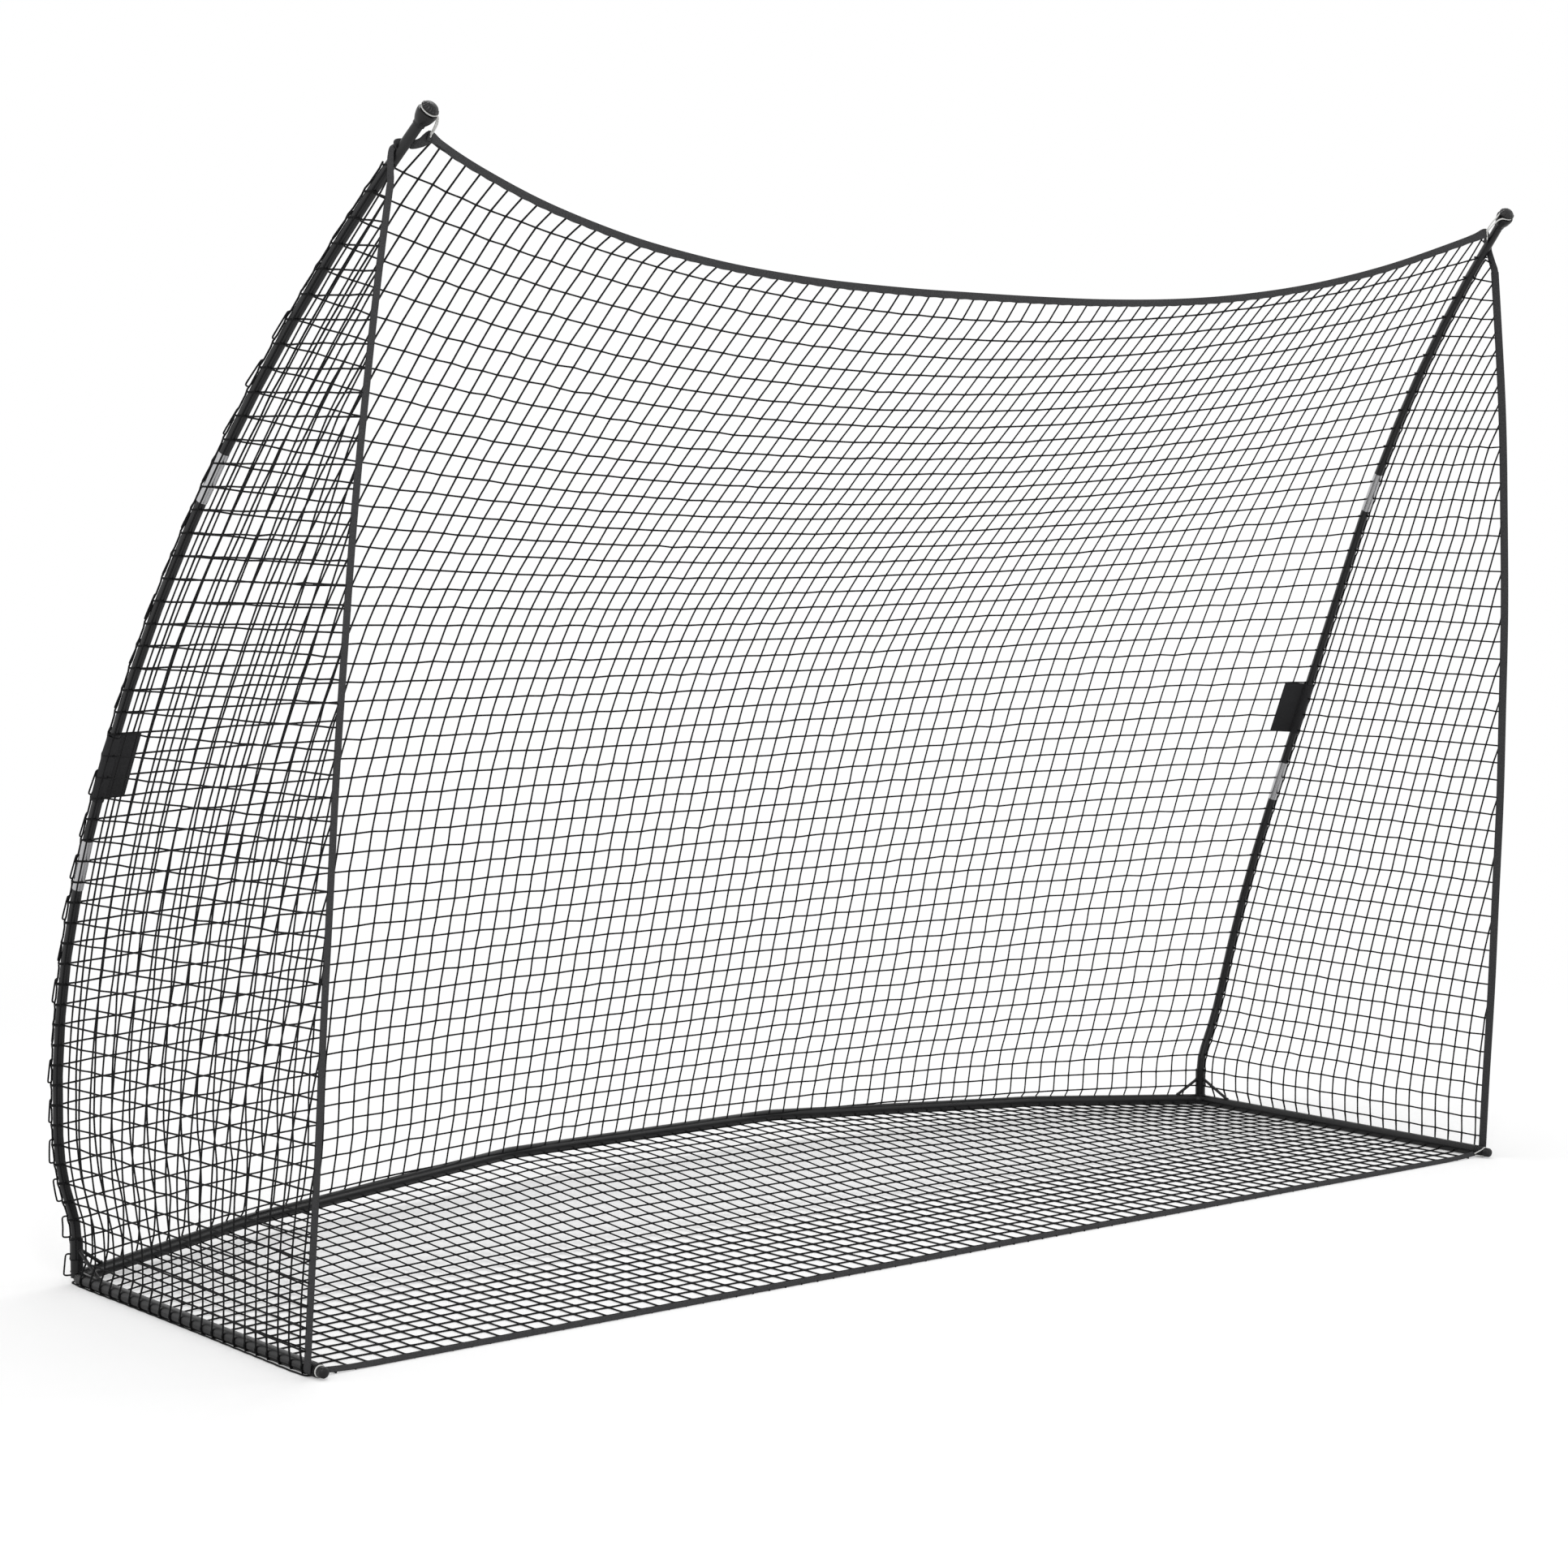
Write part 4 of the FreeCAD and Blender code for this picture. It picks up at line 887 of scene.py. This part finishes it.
def makeSideTape(side, word):
    # a band folded over the front cords of the side net; its lead comes round the outside of the pole and
    # twists into line with it, and at the foot it lies against the end of the side tube
    share = np.linspace(0, 1, 260)
    line = sideEdge(side, share)
    line[:, 1] += np.sin(share * sideTape["waves"]) * sideTape["wave"]
    line[:, 0] -= side * sideTape["footIn"] * share ** 6
    start = [point * flip[side] for point in roundPole(sideTape["below"], sideTape["ways"])]
    lead = smoothLine(start + [start[-1] * 0.4 + line[0] * 0.6, line[0], line[6]], 60)
    way = np.linspace(0, 1, 60)
    wide = np.stack([np.zeros(60), np.ones(60), 0.5 * (1 - way) ** 2], -1)
    height, thin = sideTape["height"], sideTape["leadHeight"]
    chunks = [bandAlong(lead, wide, height, thin + (1 - thin) * way), bandAlong(line, (0, 1.0, 0), height)]
    seam = stitches(line, (0, 1.0, 0), height / 2 - tapeSize["seamInset"], halfTape)
    makePiece(word + "_side_tape", chunks, tapeBlack, "frame", [word + "_binding"])
    makePiece(word + "_side_tape_stitches", seam, threadBlack, "frame")


frontTape = {"height": 0.0110, "lean": 55.0, "inset": 0.020, "bow": 0.004, "waves": 9, "wave": 0.0006,
             "floor": 0.0008, "endLift": 0.004, "endRun": 0.10, "seamInset": 0.002}


def makeFrontTape():
    # a narrower band along the floor between the two knobs, leaning on its lower edge
    reach = halfWidth - frontTape["inset"]
    x = np.linspace(-reach, reach, 300)
    lean, height = math.radians(frontTape["lean"]), frontTape["height"]
    y = (frameSize["frontLine"] + frontTape["bow"] * np.cos(x * np.pi / 2 / reach)
         + np.sin(x * frontTape["waves"]) * frontTape["wave"])
    ends = np.clip((np.abs(x) - reach + frontTape["endRun"]) / frontTape["endRun"], 0, 1) ** 2
    z = frontTape["floor"] + height / 2 * math.sin(lean) + frontTape["endLift"] * ends
    line = np.stack([x, y, z], -1)
    wide = np.array([0, math.cos(lean), math.sin(lean)])
    seam = stitches(line, wide, height / 2 - frontTape["seamInset"], halfTape)
    makePiece("front_tape", [bandAlong(line, wide, height)], tapeBlack, "frame", ["front_binding"])
    makePiece("front_tape_stitches", seam, threadBlack, "frame")


makeTopTape()
makeFrontTape()
for side, word in sides:
    makeSideTape(side, word)
    makeCornerTie(side, word)
print("tapes done")


# Moulded caps

# profiles in millimetres: distance along the axis and radius
poleCap = {"profile": [(8.2, 0), (8.2, 9.7), (-27.8, 9.7), (-28, 10.0), (-28, 10.6), (-27.6, 10.9),
                       (-24, 11.0), (-22.4, 11.4), (-20.0, 12.8), (-15.0, 15.2), (-9.0, 17.0),
                       (-4.4, 17.9), (-3.0, 18.1), (-0.2, 18.1), (0.4, 17.8), (0.6, 17.2), (0.6, 12.9),
                       (0.9, 12.2), (1.6, 12.0), (3.6, 11.9), (5.6, 12.0), (6.2, 12.3), (6.4, 13.2),
                       (6.5, 15.0), (6.9, 16.0), (7.6, 16.5), (8.6, 16.6), (9.8, 16.2), (10.4, 15.3),
                       (10.8, 14.5), (11.6, 13.9), (13.4, 12.8), (15.2, 10.9), (16.6, 8.2),
                       (17.4, 4.8), (17.7, 0)],
           "inset": 0.008, "lobes": {"count": 11, "depth": 0.0012, "from": 0.0066, "to": 0.0165}}
# three of the base cap's ribs, 5 mm apart, with the groove after each
ribs = [(start + along, radius) for start, top in ((5, 12.5), (10, 12.4), (15, 12.4))
        for along, radius in ((0.5, top - 0.3), (1.0, top), (3.4, top), (3.9, top - 0.3), (4.1, 11.0),
                              (4.7, 10.8), (5.3, 11.0))]
baseCap = {"profile": [(-14, 0), (-14, 10.2), (-13.6, 10.7), (0.2, 10.7), (0.2, 12.1), (0.5, 12.45),
                       (1.0, 12.5), (3.4, 12.5), (3.9, 12.3), (4.1, 11.0), (4.7, 10.8), (5.3, 11.0), *ribs,
                       (20.5, 12.0), (21.6, 12.3), (22.2, 12.0), (22.5, 11.2), (22.6, 9.4), (23.0, 8.7),
                       (23.6, 8.5), (26.8, 8.5), (27.4, 8.8), (27.7, 9.3), (27.8, 9.8), (28.2, 10.1),
                       (28.8, 10.2), (30.4, 10.2), (30.8, 9.9), (31.4, 9.9), (31.8, 10.2), (37.0, 10.1),
                       (39.0, 9.5), (40.4, 8.2), (41.4, 6.0), (41.8, 3.0), (41.85, 0)],
           "lobes": {"count": 9, "depth": 0.0009, "from": 0.0312, "to": 0.0405}}


def makeCaps(side, word):
    # both caps are profiles turned round their pole or tube, and their knobs are cut into lobes
    tip = poleAt(side, bowLength)
    out = unit(tip - poleAt(side, bowLength - poleShape["tipRun"]))
    seat = tip - out * poleCap["inset"]
    end = np.array([side * halfWidth, frameSize["frontEnd"], tubeRadius])
    for name, cap, centre, axis, around, body in (("pole", poleCap, seat, out, 132, "frame"),
                                                  ("base", baseCap, end, (0, -1.0, 0), 108, word + "_side")):
        chunk = spun(centre, axis, (0, 0, 1.0), np.array(cap["profile"]) / 1000, around, cap["lobes"])
        makePiece(f"{word}_{name}_knob", [chunk], plastic, body, [f"{word}_{name}_cap"], sharp=40)
    return seat, out


# Elastics

elastic = {"radius": 0.0014, "poleGroove": 0.0036, "poleReach": 0.0134, "poleRim": 0.0200,
           "baseGroove": 0.0252, "baseReach": 0.0100, "leave": 55.0, "slack": 0.005, "knot": 0.0024,
           "tails": {"left": 0.007, "right": 0.020}}


def loopRoute(centre, axis, radius, anchor, apart, rim):
    # from the anchor in a slack arc to the collar's rim, round the groove and back again
    toward = square(anchor - centre, axis)
    across = np.cross(axis, toward)
    leave = math.radians(elastic["leave"])
    turn = np.linspace(leave, 2 * math.pi - leave, 13)[:, None]
    ring = centre + toward * radius * np.cos(turn) + across * radius * np.sin(turn)
    ends = [anchor + across * apart, anchor - across * apart]
    if rim:
        over = [centre + toward * rim + across * sign * radius * 0.3 - axis * 0.0012 for sign in (1, -1)]
        slack = [over[k] * 0.45 + ends[k] * 0.55 + toward * elastic["slack"] for k in (0, 1)]
        return np.array([ends[0], slack[0], over[0]] + list(ring) + [over[1], slack[1], ends[1]])
    return np.array([ends[0]] + list(ring) + [ends[1]])


def makeElastic(name, route, body, node, axis):
    # a smooth line on the route's points, and a braided cord round it
    curve = bpy.data.curves.new(name + "_line", "CURVE")
    curve.dimensions = "3D"
    curve.resolution_u = 8
    spline = curve.splines.new("NURBS")
    spline.points.add(len(route) - 1)
    spline.points.foreach_set("co", np.c_[route, np.ones(len(route))].ravel())
    spline.order_u = 3
    spline.use_endpoint_u = True
    guide = bpy.data.objects.new(name + "_line", curve)
    read = bpy.data.meshes.new_from_object(guide)
    line = resample(np.array([v.co for v in read.vertices]), 120)
    bpy.data.meshes.remove(read)
    bpy.data.objects.remove(guide)
    bpy.data.curves.remove(curve)
    makePiece(name, [carry(line, axis, circle(10, elastic["radius"]))], elasticWhite, body, [node])


def makeKnot(name, centre, away, tail, body):
    # the elastic's two ends knotted behind the tape, with one short tail that hangs free
    turn = np.linspace(0, np.pi, 12)
    profile = np.stack([-np.cos(turn), np.sin(turn) * 0.9], -1) * elastic["knot"]
    knot = spun(centre, away, (0.3, 0.4, 0.8), profile, 20)
    end = smoothLine([centre, centre + away * tail * 0.5 + [0, 0, -0.0006], centre + away * tail], 14)
    size = elastic["radius"] * np.r_[np.ones(12), 0.8, 0.3]
    makePiece(name, [knot, carry(end, (1.0, 0.2, 0), circle(8, size))], elasticWhite, body)


for side, word in sides:
    seat, out = makeCaps(side, word)
    corner = topEdge(side * 1.004) + [0, -0.0032, 0.006]
    route = loopRoute(seat + out * elastic["poleGroove"], out, elastic["poleReach"], corner, 0.0016,
                      elastic["poleRim"])
    makeElastic(word + "_top_elastic", route, "frame", word + "_top_loop", out)
    away = unit(np.array([0.25 * side, 0.2, -1.0]))
    makeKnot(word + "_top_knot", corner, away, elastic["tails"][word], "frame")
    groove = np.array([side * halfWidth, frameSize["frontEnd"] - elastic["baseGroove"], tubeRadius])
    corner = np.array([side * (halfWidth - frontTape["inset"]), frameSize["frontLine"] - 0.002, 0.0075])
    route = loopRoute(groove, np.array([0, -1.0, 0]), elastic["baseReach"], corner, 0.002, 0)
    makeElastic(word + "_front_elastic", route, word + "_side", word + "_front_loop", (0, -1.0, 0))
print("caps and elastics done")


# Welds of the corners

weld = {"bead": 0.0013, "ripple": 0.00022, "ripples": 1100, "socket": 0.012, "socketFoot": 0.0245,
        "gusset": 0.0035, "knee": 0.070, "backReach": 0.066, "sideReach": 0.096, "foot": 0.010,
        "fromFoot": 0.0045, "fromKnee": 0.0135}


def makeWelds(side, word):
    # a rippled bead round the foot of the upright socket and round both ends of each gusset rod
    corner = np.array([side * halfWidth, cornerLine + frameSize["stubSetBack"], tubeRadius])
    upright = np.array([side * halfWidth, cornerLine + frameSize["poleSetBack"], 0.0])
    toBack = unit(backTube(side * backBends["reach"][1]) - corner)
    knee = upright + [0, 0, weld["knee"]]
    feet = corner + toBack * weld["backReach"], corner - [0, weld["sideReach"], 0]
    rods = [(upright + [0, 0, weld["socketFoot"]], np.array([0, 0, 1.0]), weld["socket"])]
    for foot in feet:
        foot = foot + [0, 0, weld["foot"]]
        way = unit(knee - foot)
        rods += [(foot + way * weld["fromFoot"], way, weld["gusset"]),
                 (knee - way * weld["fromKnee"], way, weld["gusset"])]
    turn = np.arange(40) * 2 * np.pi / 40
    chunks = []
    for centre, way, radius in rods:
        a = square(np.array([0.3, 0.9, 0.2]), way)
        b = np.cross(way, a)
        line = centre + radius * (np.cos(turn)[:, None] * a + np.sin(turn)[:, None] * b)
        size = weld["bead"] + weld["ripple"] * np.sin(turn * round(radius * weld["ripples"]))
        chunks.append(carry(line, way, circle(8, size), shut=True))
    makePiece(word + "_corner_welds", chunks, steel, "frame")


for side, word in sides:
    makeWelds(side, word)
print("welds done")


# Tabs on the poles

tabSize = {"start": 0.952, "height": 0.131, "reach": 0.066, "thickness": 0.0014, "ease": 0.0016, "hem": 0.006,
           "layerGap": 0.0002, "foldGap": 0.0035, "frontGap": 0.0003}


def makeTab(side, word):
    # doubled cloth: the back layer goes round the pole, and the front layer peels from its fold beside it
    height, thick, reach = tabSize["height"], tabSize["thickness"], tabSize["reach"]
    distance = tabSize["start"] + height / 2
    middle, up = poleAt(side, distance), poleHeading(side, distance)
    inward = square(np.array([-0.95 * side, 0.31, 0]), up)
    deep = np.cross(up, inward)
    inner = rodRadius + tabSize["ease"]
    mid = inner + thick / 2
    layer = (tabSize["layerGap"] + thick / 2) * side
    turn = np.linspace(math.asin(0.9 * thick / mid), 2 * math.pi - math.asin(1.1 * thick / mid), 48) * -side
    wrap = np.stack([np.cos(turn), np.sin(turn)], -1) * mid
    tail = np.stack([np.linspace(reach, inner + tabSize["foldGap"], 24), np.full(24, -layer)], -1)
    path = np.concatenate([tail, wrap[::-1] if wrap[-1, 1] * side > 0 else wrap])
    front = np.linspace(inner + thick * 1.5 + tabSize["frontGap"], reach, 24)
    front = np.stack([front, np.full(24, layer)], -1)
    for part, outline, body in (("tab", path, "frame"), ("flap", front, word + "_flap")):
        line = middle + outline[:, :1] * inward + outline[:, 1:] * deep
        shape, across = band(height, thick * 0.8, 3)
        cloth = makePiece(f"{word}_{part}_cloth", [carry(line, up, shape, across=across)], clothBlack, body,
                          [f"{word}_pole_{part}"])
        edge = line[-22:] if part == "flap" else line[:22]
        seams = []
        for rise in (0.5, -0.5):
            seams += stitches(edge + up * rise * (height - tabSize["hem"] * 2), up, 0.0, thick * 0.4)
        makePiece(f"{word}_{part}_stitches", seams, threadBlack, body)


for side, word in sides:
    makeTab(side, word)
print("tabs done")


# Studio: pale floor, white surround and soft lamps

# each lamp is its name, its place, what it looks at, its size and its power
studio = {"world": 0.75, "floor": 0.8, "glow": 0.3, "whiteFrom": 2.2, "whiteTo": 5.0, "lens": 73.99,
          "sensor": 36.0, "camera": (-4.276, -5.128, 1.4146), "tilt": -4.44, "turn": -39.08,
          "lamps": (("key", (-3.4, -4.4, 4.6), (0, 0, 0.8), (0.7, 3.0), 62.0),
                    ("fill", (4.6, -3.4, 3.2), (0, 0, 0.9), (0.6, 2.6), 30.0),
                    ("over", (0.2, 0.8, 5.4), (0, 0, 0.2), (3.2, 0.5), 40.0))}


def blended(tree, share, first, second, out):
    # two shaders mixed by a share, into the output
    mix = tree.nodes.new("ShaderNodeMixShader")
    for n, socket in enumerate((share, first, second)):
        tree.links.new(socket, mix.inputs[n])
    tree.links.new(mix.outputs[0], out)


def makeWorld():
    # white to the camera and to reflections, a little less bright as light on the object
    world = bpy.data.worlds.new("studio")
    bpy.context.scene.world = world
    world.use_nodes = True
    tree = world.node_tree
    tree.nodes.clear()
    path = tree.nodes.new("ShaderNodeLightPath")
    seen = maths(tree, "MAXIMUM", path.outputs["Is Camera Ray"],
                 maths(tree, "MAXIMUM", path.outputs["Is Glossy Ray"], path.outputs["Is Transmission Ray"]))
    lit, plain = (addNode(tree, "ShaderNodeBackground", Strength=strength, Color=(1, 1, 1, 1))
                  for strength in (studio["world"], 1.0))
    blended(tree, seen, lit.outputs[0], plain.outputs[0], tree.nodes.new("ShaderNodeOutputWorld").inputs[0])


def makeFloor():
    # pale and matt round the object, where it takes the shadow, and plain white further out
    mesh = bpy.data.meshes.new("floor")
    corners = ((-40, -40), (40, -40), (40, 40), (-40, 40))
    mesh.from_pydata([(x, y, -0.0004) for x, y in corners], [], [(0, 1, 2, 3)])
    floor = added("floor", mesh)
    material, tree, shader = newMaterial("pale floor", (studio["floor"],) * 3, 1.0, Specular_IOR_Level=0.0,
                                         Emission_Color=(1, 1, 1, 1))
    path = tree.nodes.new("ShaderNodeLightPath")
    tree.links.new(maths(tree, "MULTIPLY", path.outputs["Is Camera Ray"], studio["glow"]),
                   shader.inputs["Emission Strength"])
    place = tree.nodes.new("ShaderNodeTexCoord")
    far = addNode(tree, "ShaderNodeVectorMath", operation="LENGTH")
    tree.links.new(place.outputs["Object"], far.inputs[0])
    share = addNode(tree, "ShaderNodeMapRange", interpolation_type="SMOOTHSTEP", From_Min=studio["whiteFrom"],
                    From_Max=studio["whiteTo"])
    tree.links.new(far.outputs["Value"], share.inputs["Value"])
    white = tree.nodes.new("ShaderNodeEmission")
    blended(tree, share.outputs[0], shader.outputs[0], white.outputs[0],
            tree.nodes["Material Output"].inputs["Surface"])
    mesh.materials.append(material)


def makeLamps():
    # soft area lamps, each turned towards what it looks at
    for name, place, aim, size, power in studio["lamps"]:
        lamp = bpy.data.lights.new(name, "AREA")
        lamp.shape, lamp.size, lamp.size_y, lamp.energy = "RECTANGLE", size[0], size[1], power
        holder = added(name, lamp)
        holder.location = place
        holder.rotation_euler = (Vector(aim) - Vector(place)).to_track_quat("-Z", "Y").to_euler()


def makeCamera():
    # the camera where the photograph was taken, tilted a little down
    camera = bpy.data.cameras.new("camera")
    camera.lens, camera.sensor_width = studio["lens"], studio["sensor"]
    holder = added("camera", camera)
    holder.location = studio["camera"]
    holder.rotation_euler = (math.radians(90 + studio["tilt"]), 0, math.radians(studio["turn"]))
    camera.clip_end = 200
    bpy.context.scene.camera = holder
    bpy.context.scene.view_settings.view_transform = "Standard"


makeWorld()
makeFloor()
makeLamps()
makeCamera()
print("studio done")
